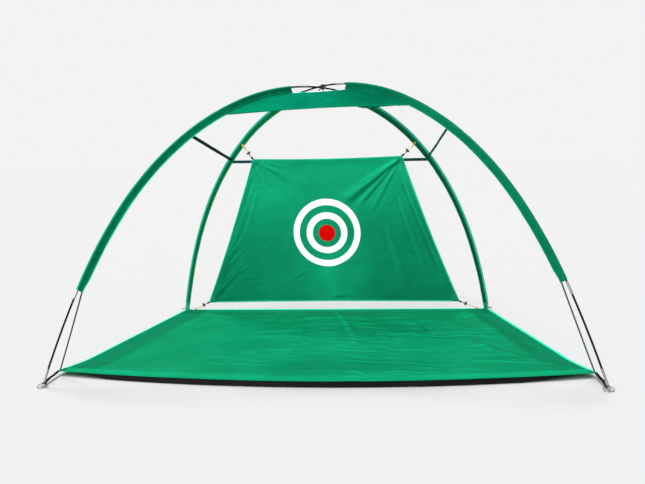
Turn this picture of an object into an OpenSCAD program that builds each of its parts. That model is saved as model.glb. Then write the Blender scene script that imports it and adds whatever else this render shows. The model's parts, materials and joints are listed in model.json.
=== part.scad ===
// Free-standing golf chipping net: two jointed poles arched corner to corner,
// a sewn fabric shell on them and a target cloth hung on four elastics.
// Origin: centre of the footprint on the ground. +X to the right, +Y to the
// back, +Z up. The open mouth faces -Y. Millimetres.

/* [Footprint and arch] */
// Distance between the two front feet
front_w = 3000; // [2900:10:3100]
// Distance between the two rear feet
rear_w = 2400; // [2340:10:2460]
// Distance from the front feet to the rear feet
depth = 1980; // [1940:10:2020]
// Outside diameter of a pole section
rod_d = 11; // [10:0.5:11.5]
// Hollow inside a pole section
rod_bore = 6; // [5.6:0.1:6.6]
// Outside diameter of a joint ferrule
ferrule_d = 13.4; // [13.2:0.1:13.8]
// Length of a joint ferrule
ferrule_len = 70; // [60:2:74]
// Height of a pole's lower end above the ground
pole_end_z = 34; // [33:1:36]
// Length of the grey foot ferrule on the pole
foot_ferrule_len = 66; // [60:2:72]

/* [Fabric shell] */
// Depth of a pole sleeve from the pole's axis to its sewn seam
sleeve_depth = 42; // [40:1:46]
// Where the front left sleeve starts, measured along the pole
front_left_start = 520; // [500:2:600]
// Where the front right sleeve starts, measured along the pole
front_right_start = 548; // [500:2:600]
// Length of bare pole from the crossing to the front left sleeve
bare_left = 248; // [165:1:270]
// Length of bare pole from the crossing to the front right sleeve
bare_right = 202; // [165:1:270]
// Length of bare pole from the crossing to a rear sleeve
bare_rear = 176; // [165:1:240]
// How far the roof cloth reaches down the front left arm from the crossing
roof_front_left = 745; // [700:5:800]
// How far the roof cloth reaches down the front right arm from the crossing
roof_front_right = 705; // [700:5:800]
// How far the roof cloth reaches down a rear arm from the crossing
roof_rear = 390; // [360:5:480]
// Where the side net's top tape meets a front arm, along the pole
tape_front = 1640; // [1600:10:1700]
// Where the top tapes meet a rear arm, measured from its foot
tape_rear = 1310; // [1290:10:1390]
// Thickness of the cloth and net panels
cloth_t = 2.5; // [2:0.1:3]
// Height of the floor sheet's lifted front edge
lip_h = 32; // [24:2:36]

/* [Target] */
// Width of the target cloth's top edge
target_top_w = 1075; // [1060:5:1090]
// Width of the target cloth's bottom edge
target_bottom_w = 1945; // [1920:5:1990]
// Height of the target cloth's top edge
target_top_z = 1198; // [1190:2:1204]
// Height of the target cloth's bottom edge
target_bottom_z = 76; // [72:1:84]
// Sideways offset of the target cloth
target_shift = -10; // [-24:2:0]

/* [Hidden] */
$fn = 48;

black = [0.09, 0.09, 0.08];
steel = [0.6, 0.6, 0.63];
green = [0.04, 0.55, 0.4];
green_dark = [0.03, 0.43, 0.31];
tape_c = [0.03, 0.22, 0.22];
net_c = [0.85, 0.88, 0.87];
yellow = [0.88, 0.78, 0.35];

// ---- pole curve: ten sections, each bent to its own arc, end to end ----
// Bend of each section in degrees, from the front foot to the rear foot
bends = [5, 10, 15, 17, 21, 23, 19, 16, 13, 10];
n = len(bends);
run_x = (front_w + rear_w) / 2;
span = norm([run_x, depth]);       // foot to foot on the ground
ux = run_x / span;
uy = depth / span;
end_in = 12;                       // the lower end sits this far in from its foot
chord_u = span - 2 * end_in;
// shape of the chain with sections of length 1: [x, y, heading]
function unit(i) = i == 0 ? [0, 0, 0] :
  let(p = unit(i - 1), b = bends[i - 1], c = 360 / (PI * b) * sin(b / 2))
  [p[0] + c * cos(p[2] - b / 2), p[1] + c * sin(p[2] - b / 2), p[2] - b];
tail = unit(n);
sec = chord_u / norm([tail[0], tail[1]]);  // length of one section
a0 = -atan2(tail[1], tail[0]);             // heading at the front foot
a_end = a0 + tail[2];                      // heading at the rear foot
total = sec * n;
ST = [for (i = [0:n]) let(p = unit(i))
  [end_in + sec * (p[0] * cos(a0) - p[1] * sin(a0)),
   pole_end_z + sec * (p[0] * sin(a0) + p[1] * cos(a0)), p[2] + a0]];
// point and heading at a length s along the pole, in the pole's own plane
function at(s) = let(i = max(0, min(n - 1, floor(s / sec))), b = bends[i] * (s / sec - i),
  p = ST[i], c = b == 0 ? 0 : 360 * sec / (PI * bends[i]) * sin(b / 2))
  [p[0] + c * cos(p[2] - b / 2), p[1] + c * sin(p[2] - b / 2), p[2] - b];
// the same, moved d towards the inside of the arch
function inner(s, d) = let(p = at(s)) [p[0] + d * sin(p[2]), p[1] - d * cos(p[2])];
lift_b = rod_d + 0.6;              // pole b passes over pole a
function wa(p) = [-front_w / 2 + p[0] * ux, -depth / 2 + p[0] * uy, p[1]];
function wb(p) = [front_w / 2 - p[0] * ux, -depth / 2 + p[0] * uy, p[1] + lift_b];
// length along the pole at the crossing
u_cross = front_w / 2 / ux;
function find(u, lo, hi, k) = k == 0 ? (lo + hi) / 2 :
  let(m = (lo + hi) / 2) at(m)[0] < u ? find(u, m, hi, k - 1) : find(u, lo, m, k - 1);
s_x = find(u_cross, 0, total, 30);
cross_z = at(s_x)[1];

module plane_a() { translate([-front_w / 2, -depth / 2, 0]) rotate([0, 0, atan2(uy, ux)]) rotate([90, 0, 0]) children(); }
module plane_b() { translate([front_w / 2, -depth / 2, lift_b]) rotate([0, 0, 180 - atan2(uy, ux)]) rotate([90, 0, 0]) children(); }
// sweeps a profile (x outwards, y across the pole's plane) from length s0 to s1
module run(s0, s1) {
  for (i = [0:n - 1]) {
    lo = max(s0, i * sec);
    hi = min(s1, (i + 1) * sec);
    if (hi - lo > 0.05) {
      b = bends[i];
      r = 180 * sec / (PI * b);
      p = ST[i];
      translate([p[0] + r * sin(p[2]), p[1] - r * cos(p[2]), 0])
        rotate([0, 0, p[2] + 90 - b * (hi / sec - i)])
          rotate_extrude(angle = b * (hi - lo) / sec, $fn = 720) translate([r, 0]) children();
    }
  }
}
module ring2d(d, bore) { difference() { circle(d = d, $fn = 40); circle(d = bore, $fn = 40); } }
module rods() { for (i = [0:n - 1]) run(i * sec + 0.25, (i + 1) * sec - 0.25) ring2d(rod_d, rod_bore); }
// joint ferrules and foot ferrules are straight stiff tubes over the bent rods
ferrule_bore = rod_d + 1.1;
module tube_on(p, h, lo, hi, bore) {
  translate([p[0], p[1], 0]) rotate([0, 0, h]) rotate([0, 90, 0]) difference() {
    translate([0, 0, lo]) cylinder(d = ferrule_d, h = hi - lo);
    translate([0, 0, lo - 1]) cylinder(d = bore, h = hi - lo + 2);
  }
}
module ferrules() {
  for (i = [1:n - 1]) tube_on(inner(i * sec, 0.25), ST[i][2] + (bends[i - 1] - bends[i]) / 16, -ferrule_len / 2, ferrule_len / 2, ferrule_bore);
}
// heading of the chord over a foot ferrule, pointing up the pole
h_front = a0 - bends[0] * foot_ferrule_len / sec / 2;
h_rear = a_end + bends[n - 1] * foot_ferrule_len / sec / 2 + 180;
// p is the pole's lower end, h its heading upwards, extra the longer neck
module foot_ferrule(p, h, extra) {
  translate([p[0], p[1], 0]) rotate([0, 0, h]) rotate([0, 90, 0]) difference() {
    translate([0, 0, -9 - extra]) cylinder(d = ferrule_d, h = 9 + extra + foot_ferrule_len);
    cylinder(d = rod_d + 0.5, h = foot_ferrule_len + 1);
    translate([0, 0, -10 - extra]) cylinder(d = rod_bore, h = 12 + extra);
  }
}
module foot_ferrule_pair(extra) {
  foot_ferrule(ST[0], h_front, extra);
  foot_ferrule(ST[n], h_rear, extra);
}
// eye pin: a wire eye that stands on the ground and a leg up inside the pole
eye_r = 9;
wire_r = 2;
module eye_pin(p, h, extra) {
  cz = eye_r + wire_r - extra;
  u = p[0] - (p[1] - cz) / tan(h);
  translate([u, cz, 0]) {
    rotate_extrude() translate([eye_r, 0]) circle(r = wire_r);
    rotate([0, 0, h]) rotate([0, 90, 0]) translate([0, 0, eye_r - 0.6]) cylinder(r = 1.6, h = 58 + extra);
  }
}
module eye_pins(extra) { eye_pin(ST[0], h_front, extra); eye_pin(ST[n], h_rear, extra); }
// solid swept along the pole through the stations; the loop is [outwards, across]
function at_ring(s, loop) = let(p = at(s)) [for (q = loop) [p[0] - q[0] * sin(p[2]), p[1] + q[0] * cos(p[2]), q[1]]];
function stations(s0, s1, step) = let(m = ceil((s1 - s0) / step)) [for (i = [0:m]) s0 + (s1 - s0) * i / m];
module sweep(ss, outer, hole = []) {
  m = len(outer);
  c = len(ss);
  w = len(hole) > 0;
  pts = concat([for (s = ss) for (p = at_ring(s, outer)) p], w ? [for (s = ss) for (p = at_ring(s, hole)) p] : []);
  o = m * c;
  function f(k, q) = k * m + (q % m);
  walls = [for (k = [0:c - 2]) for (q = [0:m - 1]) each [
    [f(k, q), f(k + 1, q), f(k + 1, q + 1)], [f(k, q), f(k + 1, q + 1), f(k, q + 1)]]];
  inside = w ? [for (k = [0:c - 2]) for (q = [0:m - 1]) each [
    [o + f(k, q), o + f(k + 1, q + 1), o + f(k + 1, q)], [o + f(k, q), o + f(k, q + 1), o + f(k + 1, q + 1)]]] : [];
  caps = w ? [for (q = [0:m - 1]) each [
      [f(0, q), f(0, q + 1), o + f(0, q + 1)], [f(0, q), o + f(0, q + 1), o + f(0, q)],
      [f(c - 1, q), o + f(c - 1, q + 1), f(c - 1, q + 1)], [f(c - 1, q), o + f(c - 1, q), o + f(c - 1, q + 1)]]]
    : [[for (q = [0:m - 1]) q], [for (q = [m - 1:-1:0]) f(c - 1, q)]];
  polyhedron(points = pts, faces = concat(walls, inside, caps), convexity = 6);
}
function ring_loop(r, k) = [for (q = [0:k - 1]) [r * cos(360 * q / k), r * sin(360 * q / k)]];
// elastic cord inside the pole, tied off at both ends short of the pins
module shock_cord() { sweep(stations(84, total - 84, 68), ring_loop(1.3, 8)); }

// ---- placing things between two points ----
function unitv(v) = v / norm(v);
module along(p0, p1) {
  d = p1 - p0;
  translate(p0) rotate([0, acos(d[2] / norm(d)), atan2(d[1], d[0])]) children();
}

// ---- thin panels: a grid of points thickened by the vector o ----
module panel(g, o, wrap = false) {
  nr = len(g);
  nc = len(g[0]);
  m = nr * nc;
  pts = concat([for (r = g) for (p = r) p], [for (r = g) for (p = r) p + o]);
  cmax = wrap ? nc - 1 : nc - 2;
  function k(j, i) = j * nc + (i % nc);
  sheet = [for (j = [0:nr - 2]) for (i = [0:cmax]) each [
    [k(j, i), k(j, i + 1), k(j + 1, i)], [k(j, i + 1), k(j + 1, i + 1), k(j + 1, i)],
    [m + k(j, i), m + k(j + 1, i), m + k(j, i + 1)], [m + k(j, i + 1), m + k(j + 1, i), m + k(j + 1, i + 1)]]];
  ends = [for (i = [0:cmax]) each [
    [k(0, i + 1), k(0, i), m + k(0, i)], [k(0, i + 1), m + k(0, i), m + k(0, i + 1)],
    [k(nr - 1, i), k(nr - 1, i + 1), m + k(nr - 1, i + 1)], [k(nr - 1, i), m + k(nr - 1, i + 1), m + k(nr - 1, i)]]];
  sides = wrap ? [] : [for (j = [0:nr - 2]) each [
    [k(j, 0), k(j + 1, 0), m + k(j + 1, 0)], [k(j, 0), m + k(j + 1, 0), m + k(j, 0)],
    [k(j + 1, nc - 1), k(j, nc - 1), m + k(j, nc - 1)], [k(j + 1, nc - 1), m + k(j, nc - 1), m + k(j + 1, nc - 1)]]];
  polyhedron(points = pts, faces = concat(sheet, ends, sides), convexity = 4);
}
function lerp(a, b, t) = a + (b - a) * t;

// ---- poles ----
module pole_a_rods() { color(black) plane_a() rods(); }
module pole_b_rods() { color(black) plane_b() rods(); }
module pole_a_ferrules() { color(steel) plane_a() ferrules(); }
module pole_b_ferrules() { color(steel) plane_b() ferrules(); }
module foot_ferrules() { color(steel) { plane_a() foot_ferrule_pair(0); plane_b() foot_ferrule_pair(lift_b); } }
module pole_a_shock_cord() { color("white") plane_a() shock_cord(); }
module pole_b_shock_cord() { color("white") plane_b() shock_cord(); }
module foot_pins() { color(steel) { plane_a() eye_pins(0); plane_b() eye_pins(lift_b); } }

// ---- corner rings and straps ----
// a front ring hangs on its strap towards +Y, a rear ring towards the middle
ring_r = 26;
fr_in = 1 / sqrt(2);
front_foot_x = front_w / 2;
foot_y = depth / 2;
front_hinge_z = 14;
rear_hinge_z = 10;
function ring_tilt(h) = asin((h - wire_r) / (2 * ring_r));
// hinge point of each corner ring, and the direction from it to the foot
function hinge(front, right) = let(s = right ? 1 : -1)
  front ? [s * front_foot_x, -foot_y + ring_r * cos(ring_tilt(front_hinge_z)), front_hinge_z]
        : [s * (rear_w / 2 - fr_in * ring_r), foot_y - fr_in * ring_r, rear_hinge_z];
function out_dir(front, right) = let(s = right ? 1 : -1) front ? [0, -1, 0] : [s * fr_in, fr_in, 0];
module corner_ring(front, right) {
  h = hinge(front, right);
  d = out_dir(front, right);
  t = ring_tilt(h[2]);
  color(steel) translate(h) rotate([0, 0, atan2(d[1], d[0])]) rotate([0, t, 0])
    translate([ring_r, 0, 0]) rotate_extrude() translate([ring_r, 0]) circle(r = wire_r);
}
// floor corners
floor_front_y = -foot_y + 220;
floor_rear_x = rear_w / 2 - 12;
strap_rear_x = rear_w / 2 - 35;    // the rear straps are sewn on a little inside the corners
floor_rear_y = foot_y - 35;
function floor_corner(front, right) = let(s = right ? 1 : -1)
  front ? [s * front_foot_x, floor_front_y, lip_h + 1.2] : [s * strap_rear_x, floor_rear_y, 4.6];
module strap(front, right) {
  h = hinge(front, right);
  c = floor_corner(front, right);
  len = norm(h - c);
  color(black) difference() {
    union() {
      along(c, h) translate([-0.8, -10, 1]) cube([1.6, 20, len - 5.5]);
      along(c, h) translate([0, 0, len]) rotate([90, 0, 0]) translate([0, 0, -10]) cylinder(r = 6, h = 20);
    }
    along(c, h) translate([0, 0, len]) rotate([90, 0, 0]) translate([0, 0, -12]) cylinder(r = 4.8, h = 24);
  }
}
module ring_front_left() { corner_ring(true, false); }
module ring_front_right() { corner_ring(true, true); }
module ring_rear_left() { corner_ring(false, false); }
module ring_rear_right() { corner_ring(false, true); }
module strap_front_left() { strap(true, false); }
module strap_front_right() { strap(true, true); }
module strap_rear_left() { strap(false, false); }
module strap_rear_right() { strap(false, true); }

// ---- pole sleeves: a round pocket for the pole and a flat seam inside it ----
function pocket(r) = [for (q = [0:10]) let(a = -150 + 30 * q) [r * cos(a), r * sin(a)]];
sleeve_outer = concat(pocket(9.2), [[-sleeve_depth, 1.4], [-sleeve_depth, -1.4]]);
sleeve_hole = concat(pocket(7.8), [[7.8 * cos(170), 7.8 * sin(170)], [7.8 * cos(190), 7.8 * sin(190)]]);
module sleeve(s0, s1) { sweep(stations(s0, s1, 72), sleeve_outer, sleeve_hole); }
rear_sleeve_end = total - 30;
module sleeve_front_left() { color(green) plane_a() sleeve(front_left_start, s_x - bare_left); }
module sleeve_front_right() { color(green) plane_b() sleeve(front_right_start, s_x - bare_right); }
module sleeve_rear_left() { color(green) plane_b() sleeve(s_x + bare_rear, rear_sleeve_end); }
module sleeve_rear_right() { color(green) plane_a() sleeve(s_x + bare_rear, rear_sleeve_end); }
seam = sleeve_depth - 3;           // panels are sewn in 3 mm deep

// ---- roof cloth: one ring of cloth round the crossing, sewn to the four arms ----
function arm_pt(arm, d) =
  arm == 0 ? wa(inner(s_x - d, seam)) : arm == 1 ? wb(inner(s_x - d, seam)) :
  arm == 2 ? wa(inner(s_x + d, seam)) : wb(inner(s_x + d, seam));
roof_reach = [roof_front_left, roof_front_right, roof_rear, roof_rear];
roof_rows = 8;
roof_cols = 5;
module roof_cloth() {
  hole = [bare_left + 4, bare_right + 4, bare_rear + 4, bare_rear + 4];
  color(green) panel([for (j = [0:roof_rows]) [for (arm = [0:3]) for (i = [0:roof_cols - 1])
    let(t = j / roof_rows,
        nx = (arm + 1) % 4,
        da = lerp(hole[arm], roof_reach[arm], t),
        db = lerp(hole[nx], roof_reach[nx], t))
    lerp(arm_pt(arm, da), arm_pt(nx, db), i / roof_cols)]], [0, 0, -cloth_t], true);
}

// ---- floor sheet: flat on the ground, its front edge lifted ----
edge_bow = 190;                    // the front edge bows forwards by this much
bow_r = (front_w * front_w / 4 + edge_bow * edge_bow) / (2 * edge_bow);
bow_a = asin(front_w / 2 / bow_r);
module floor_outline() {
  polygon(concat(
    [for (i = [0:24]) let(a = -bow_a + 2 * bow_a * i / 24)
      [bow_r * sin(a), floor_front_y - edge_bow + bow_r * (1 - cos(a))]],
    [[floor_rear_x, floor_rear_y], [-floor_rear_x, floor_rear_y]]));
}
lip_run = 600;                     // the lift starts this far behind the front feet
function lip(y) = let(t = max(0, min(1, (-foot_y + lip_run - y) / (lip_run - 30)))) lip_h * t * t * (3 - 2 * t);
module floor_sheet() {
  ys = [for (i = [0:9]) -foot_y + lip_run - (lip_run - 30) * i / 9];
  color(green) intersection() {
    rotate([90, 0, 90]) linear_extrude(height = front_w + 100, center = true)
      polygon(concat([[foot_y, 0]], [for (y = ys) [y, lip(y)]], [[-foot_y - 20, lip_h]],
        [[-foot_y - 20, lip_h + cloth_t]], [for (i = [9:-1:0]) [ys[i], lip(ys[i]) + cloth_t]], [[foot_y, cloth_t]]));
    linear_extrude(height = 200, center = true) floor_outline();
  }
}
function side_x(y) = lerp(front_foot_x, floor_rear_x, (y - floor_front_y) / (floor_rear_y - floor_front_y));
function floor_top(y) = lip(y) + cloth_t - 1;

// ---- net panels ----
net_cols = 6;
// front edge of a side net: up the edge cord, then up the front sleeve's seam
function front_edge(right, t) = let(s = right ? 1 : -1, s0 = (right ? front_right_start : front_left_start) + 4,
  foot = [s * (side_x(floor_front_y + 16) - 2), floor_front_y + 16, floor_top(floor_front_y + 16)],
  low = inner(s0, seam),
  lowp = right ? wb(low) : wa(low))
  t < 0.3 ? lerp(foot, lowp, t / 0.3) :
  let(q = inner(lerp(s0, tape_front, (t - 0.3) / 0.7), seam)) right ? wb(q) : wa(q);
function rear_edge(right, t) = let(s = right ? 1 : -1,
  foot = [s * (floor_rear_x - 3), floor_rear_y - 6, floor_top(floor_rear_y)],
  low = inner(rear_sleeve_end - 4, seam),
  lowp = right ? wa(low) : wb(low))
  t < 0.06 ? lerp(foot, lowp, t / 0.06) :
  let(q = inner(lerp(rear_sleeve_end - 4, total - tape_rear, (t - 0.06) / 0.94), seam)) right ? wa(q) : wb(q);
net_ts = [0, 0.06, 0.18, 0.3, 0.42, 0.54, 0.66, 0.78, 0.9, 1];
// a side net's lowest row follows the floor sheet
function side_row(right, t) = [for (i = [0:net_cols]) let(
  f = front_edge(right, t), r = rear_edge(right, t), p = lerp(f, r, i / net_cols))
  [p[0], p[1], t == 0 ? floor_top(p[1]) : p[2]]];
module net_left() { color(net_c) panel([for (t = net_ts) side_row(false, t)], [-cloth_t, 0, 0]); }
module net_right() { color(net_c) panel([for (t = net_ts) [for (i = [net_cols:-1:0]) side_row(true, t)[i]]], [cloth_t, 0, 0]); }
rear_ts = [0, 0.06, 0.2, 0.35, 0.5, 0.65, 0.8, 0.9, 1];
module net_rear() {
  color(net_c) panel([for (t = rear_ts) [for (i = [0:4])
    let(p = lerp(rear_edge(false, t), rear_edge(true, t), i / 4)) [p[0], p[1] + cloth_t, p[2]]]], [0, cloth_t, 0]);
}
// binding tapes along the nets' top edges
tape_h = 19;
module tape(p0, p1, o) { color(tape_c) panel([[p0, p1], [p0 + [0, 0, tape_h], p1 + [0, 0, tape_h]]], o); }
module tape_left() { tape(front_edge(false, 1), rear_edge(false, 1), [-cloth_t, 0, 0]); }
module tape_right() { tape(rear_edge(true, 1), front_edge(true, 1), [cloth_t, 0, 0]); }
module tape_rear() { o = [0, cloth_t, 0]; tape(rear_edge(false, 1) + o, rear_edge(true, 1) + o, o); }
// cords along the side nets' free front edges
edge_r = 3.8;
module edge_cord(right) {
  s = right ? 1 : -1;
  low = inner((right ? front_right_start : front_left_start) - 2, seam - 2);
  top = right ? wb(low) : wa(low);
  bot = [s * (front_foot_x - 4), floor_front_y + 9, lip_h + cloth_t + edge_r];
  color(tape_c) along(bot, top) cylinder(r = edge_r, h = norm(top - bot));
}
module edge_cord_left() { edge_cord(false); }
module edge_cord_right() { edge_cord(true); }

// ---- tie where the poles cross ----
cross_y = -depth / 2 + u_cross * uy;
module crossing_tie() {
  zc = cross_z + lift_b / 2;
  color(black) translate([0, cross_y, zc]) {
    for (a = [0, 90]) rotate([90, 0, a]) rotate_extrude() translate([15.4, 0]) circle(r = 2.2);
    translate([0, 0, 14]) rotate([0, 35, -20]) cylinder(r = 2.2, h = 40);
    translate([0, 0, -14]) rotate([0, 188, 0]) cylinder(r = 2.2, h = 36);
  }
}

// ---- target cloth, in its own leaning plane ----
t_top_y = 562;
t_bot_y = 905;
lean = atan2(t_bot_y - t_top_y, target_top_z - target_bottom_z);
slope_h = norm([t_bot_y - t_top_y, target_top_z - target_bottom_z]);
t_mid = [target_shift, (t_top_y + t_bot_y) / 2, (target_top_z + target_bottom_z) / 2];
module in_target() { translate(t_mid) rotate([90 + lean, 0, 0]) children(); }
// a point of the target's plane: x across, y up the slope
function tp(x, y) = [t_mid[0] + x, t_mid[1] - y * sin(lean), t_mid[2] + y * cos(lean)];
normal = [0, cos(lean), sin(lean)];
module target_cloth() {
  color(green) in_target() linear_extrude(height = cloth_t, center = true)
    polygon([[-target_bottom_w / 2, -slope_h / 2], [target_bottom_w / 2, -slope_h / 2],
             [target_top_w / 2, slope_h / 2], [-target_top_w / 2, slope_h / 2]]);
}
// corners: 0 top left, 1 top right, 2 bottom left, 3 bottom right
function corner(i) = tp((i % 2 == 0 ? -1 : 1) * (i < 2 ? target_top_w : target_bottom_w) / 2, (i < 2 ? 1 : -1) * slope_h / 2);
// where each elastic is tied: to a tab on the rear sleeve, or on the floor's rear edge
anchor_s = total - 1480;
tab_depth = 58;                    // the top elastics are tied this far in from the poles
function arm_in(i, d) = i == 0 ? wb(inner(anchor_s, d)) : wa(inner(anchor_s, d));
function anchor(i) = i < 2 ? arm_in(i, tab_depth) : [(i == 2 ? -1 : 1) * (strap_rear_x - 60), floor_rear_y - 24, 12];
// where each tab is sewn on
function tab_end(i) = i < 2 ? arm_in(i, sleeve_depth - 3) : [anchor(i)[0], floor_rear_y - 4, 2];
eye_of = 40;                       // distance from the cloth's corner to the loop's eye
function cdir(i) = unitv(anchor(i) - corner(i));
function eye(i) = corner(i) + cdir(i) * eye_of;
// a webbing strip with an eye at its origin, running along +Z
module webbing_eye(len) {
  rotate([90, 0, 90]) translate([0, 0, -1]) linear_extrude(height = 2) difference() {
    union() {
      translate([-6, 0]) square([12, len]);
      circle(r = 6.2);
    }
    circle(r = 4.2);
  }
}
module target_loops() {
  color(black) for (i = [0:3]) along(eye(i), corner(i)) webbing_eye(eye_of - 2.4);
}
module elastic_tabs() {
  color(black) for (i = [0:3]) along(anchor(i), tab_end(i)) webbing_eye(norm(tab_end(i) - anchor(i)));
}
// each elastic: an eye knot linked through the loop, a straight cord and a
// second knot linked through the tab
e_r = 2;
knot_r = 4.8;
module elastic(i) {
  len = norm(anchor(i) - eye(i));
  color(yellow) along(eye(i), anchor(i)) {
    translate([0, 0, knot_r]) rotate([90, 0, 0]) rotate_extrude() translate([knot_r, 0]) circle(r = 1.5);
    translate([0, 0, 2 * knot_r]) cylinder(r = e_r, h = len - 4 * knot_r);
    translate([0, 0, len - knot_r]) rotate([90, 0, 0]) rotate_extrude() translate([knot_r, 0]) circle(r = 1.5);
  }
}
// cord lock: a barrel across the cord with a sprung button in it
lock_at = 20;                      // distance of a lock from the loop's eye
barrel_l = 24;
module lock_frame(i) { along(eye(i), anchor(i)) translate([0, 0, lock_at]) rotate([0, -90, 0]) children(); }
module lock(i) {
  color(black) lock_frame(i) difference() {
    translate([0, 0, -13]) cylinder(r = 7, h = barrel_l);
    translate([0, 0, -11.4]) cylinder(r = 5.3, h = barrel_l);
    rotate([0, 90, 0]) cylinder(r = e_r + 0.5, h = 40, center = true);
  }
}
button_travel = 3.4;
module button(i) {
  color(black) lock_frame(i) difference() {
    union() {
      translate([0, 0, -4.2]) cylinder(r = 5.2, h = 21.2);
      translate([0, 0, 15.6]) cylinder(r = 6.4, h = 2.6);
    }
    // slot that lets the button travel past the cord
    translate([0, 0, 0]) rotate([0, 90, 0]) cylinder(r = e_r + 0.5, h = 40, center = true);
    translate([-20, -e_r - 0.5, 0]) cube([40, 2 * e_r + 1, button_travel]);
    translate([0, 0, button_travel]) rotate([0, 90, 0]) cylinder(r = e_r + 0.5, h = 40, center = true);
  }
}
// coil spring under the button
coils = 3;
per = 12;
module coil_spring(i) {
  r = 3.6;
  w = 0.45;
  z0 = -10.7;
  h = 5.8;
  m = coils * per;
  pts = [for (k = [0:m]) let(a = 360 * k / per, z = z0 + h * k / m) for (q = [0:7])
    let(b = 45 * q) [(r + w * cos(b)) * cos(a), (r + w * cos(b)) * sin(a), z + w * sin(b)]];
  faces = concat([[for (q = [7:-1:0]) q]], [[for (q = [0:7]) m * 8 + q]],
    [for (k = [0:m - 1]) for (q = [0:7]) let(a = k * 8 + q, b = k * 8 + (q + 1) % 8) each [[a, b, a + 8], [b, b + 8, a + 8]]]);
  color(steel) lock_frame(i) polyhedron(points = pts, faces = faces, convexity = 6);
}
module elastic_top_left() { elastic(0); }
module elastic_top_right() { elastic(1); }
module elastic_bottom_left() { elastic(2); }
module elastic_bottom_right() { elastic(3); }
module lock_top_left() { lock(0); }
module lock_top_right() { lock(1); }
module lock_bottom_left() { lock(2); }
module lock_bottom_right() { lock(3); }
module button_top_left() { button(0); }
module button_top_right() { button(1); }
module button_bottom_left() { button(2); }
module button_bottom_right() { button(3); }
module spring_top_left() { coil_spring(0); }
module spring_top_right() { coil_spring(1); }
module spring_bottom_left() { coil_spring(2); }
module spring_bottom_right() { coil_spring(3); }

pole_a_rods();
pole_b_rods();
pole_a_ferrules();
pole_b_ferrules();
foot_ferrules();
pole_a_shock_cord();
pole_b_shock_cord();
foot_pins();
ring_front_left();
ring_front_right();
ring_rear_left();
ring_rear_right();
strap_front_left();
strap_front_right();
strap_rear_left();
strap_rear_right();
sleeve_front_left();
sleeve_front_right();
sleeve_rear_left();
sleeve_rear_right();
roof_cloth();
floor_sheet();
net_left();
net_right();
net_rear();
tape_left();
tape_right();
tape_rear();
edge_cord_left();
edge_cord_right();
crossing_tie();
target_cloth();
target_loops();
elastic_tabs();
elastic_top_left();
elastic_top_right();
elastic_bottom_left();
elastic_bottom_right();
lock_top_left();
lock_top_right();
lock_bottom_left();
lock_bottom_right();
button_top_left();
button_top_right();
button_bottom_left();
button_bottom_right();
spring_top_left();
spring_top_right();
spring_bottom_left();
spring_bottom_right();
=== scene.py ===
"""Looks of the free-standing chipping net: cloth, netting, webbing, cords and their materials around the CAD frame."""
import json
import math

import bpy
import numpy as np
from mathutils import Matrix, Vector
from mathutils.bvhtree import BVHTree

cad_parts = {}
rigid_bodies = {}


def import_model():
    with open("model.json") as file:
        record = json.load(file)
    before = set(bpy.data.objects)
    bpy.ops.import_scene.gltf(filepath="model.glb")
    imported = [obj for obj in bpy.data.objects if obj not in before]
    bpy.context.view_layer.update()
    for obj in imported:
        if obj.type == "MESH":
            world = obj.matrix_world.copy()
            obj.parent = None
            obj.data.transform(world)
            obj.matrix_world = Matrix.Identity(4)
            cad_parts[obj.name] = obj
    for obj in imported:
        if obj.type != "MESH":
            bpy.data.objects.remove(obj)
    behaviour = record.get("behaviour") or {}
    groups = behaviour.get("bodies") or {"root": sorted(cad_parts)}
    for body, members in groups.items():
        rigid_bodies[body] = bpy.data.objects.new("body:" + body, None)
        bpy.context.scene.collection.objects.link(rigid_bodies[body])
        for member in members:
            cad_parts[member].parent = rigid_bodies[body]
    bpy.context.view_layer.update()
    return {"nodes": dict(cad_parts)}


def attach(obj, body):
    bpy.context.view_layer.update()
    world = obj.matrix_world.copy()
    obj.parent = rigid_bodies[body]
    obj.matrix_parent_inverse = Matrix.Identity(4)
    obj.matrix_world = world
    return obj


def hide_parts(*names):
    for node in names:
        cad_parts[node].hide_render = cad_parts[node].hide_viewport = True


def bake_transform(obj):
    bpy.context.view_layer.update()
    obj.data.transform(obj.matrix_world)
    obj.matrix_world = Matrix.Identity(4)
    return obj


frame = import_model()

scene = bpy.context.scene
scene.view_settings.view_transform = "Standard"

# ------------------------------------------------------------------ camera
CAM = (0.3156, -4.8434, 1.2628)
YAW, PITCH, ROLL, LENS = 0.0914, -0.072, -0.0232, 746.007 / 645 * 36.0
fwd = np.array([-math.sin(YAW) * math.cos(PITCH), math.cos(YAW) * math.cos(PITCH), math.sin(PITCH)])
rgt = np.array([math.cos(YAW), math.sin(YAW), 0.0])
upw = np.cross(rgt, fwd)
rgt, upw = rgt * math.cos(ROLL) + upw * math.sin(ROLL), -rgt * math.sin(ROLL) + upw * math.cos(ROLL)
cam_data = bpy.data.cameras.new("camera")
cam_data.sensor_fit = "HORIZONTAL"
cam_data.sensor_width = 36.0
cam_data.lens = LENS
cam_data.clip_end = 200.0
cam_data.shift_x, cam_data.shift_y = 18.0436 / 645, -38.5725 / 645
camera = bpy.data.objects.new("camera", cam_data)
scene.collection.objects.link(camera)
m4 = Matrix.Identity(4)
for k in range(3):
    m4[k][0], m4[k][1], m4[k][2], m4[k][3] = rgt[k], upw[k], -fwd[k], CAM[k]
camera.matrix_world = m4
scene.camera = camera


# ------------------------------------------------------------------ small maths
def unit(v):
    v = np.asarray(v, float)
    return v / np.maximum(np.linalg.norm(v, axis=-1, keepdims=True), 1e-12)


def smooth(x):
    x = np.clip(x, 0.0, 1.0)
    return x * x * (3 - 2 * x)


def lerp(a, b, t):
    return a + (b - a) * t


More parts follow.
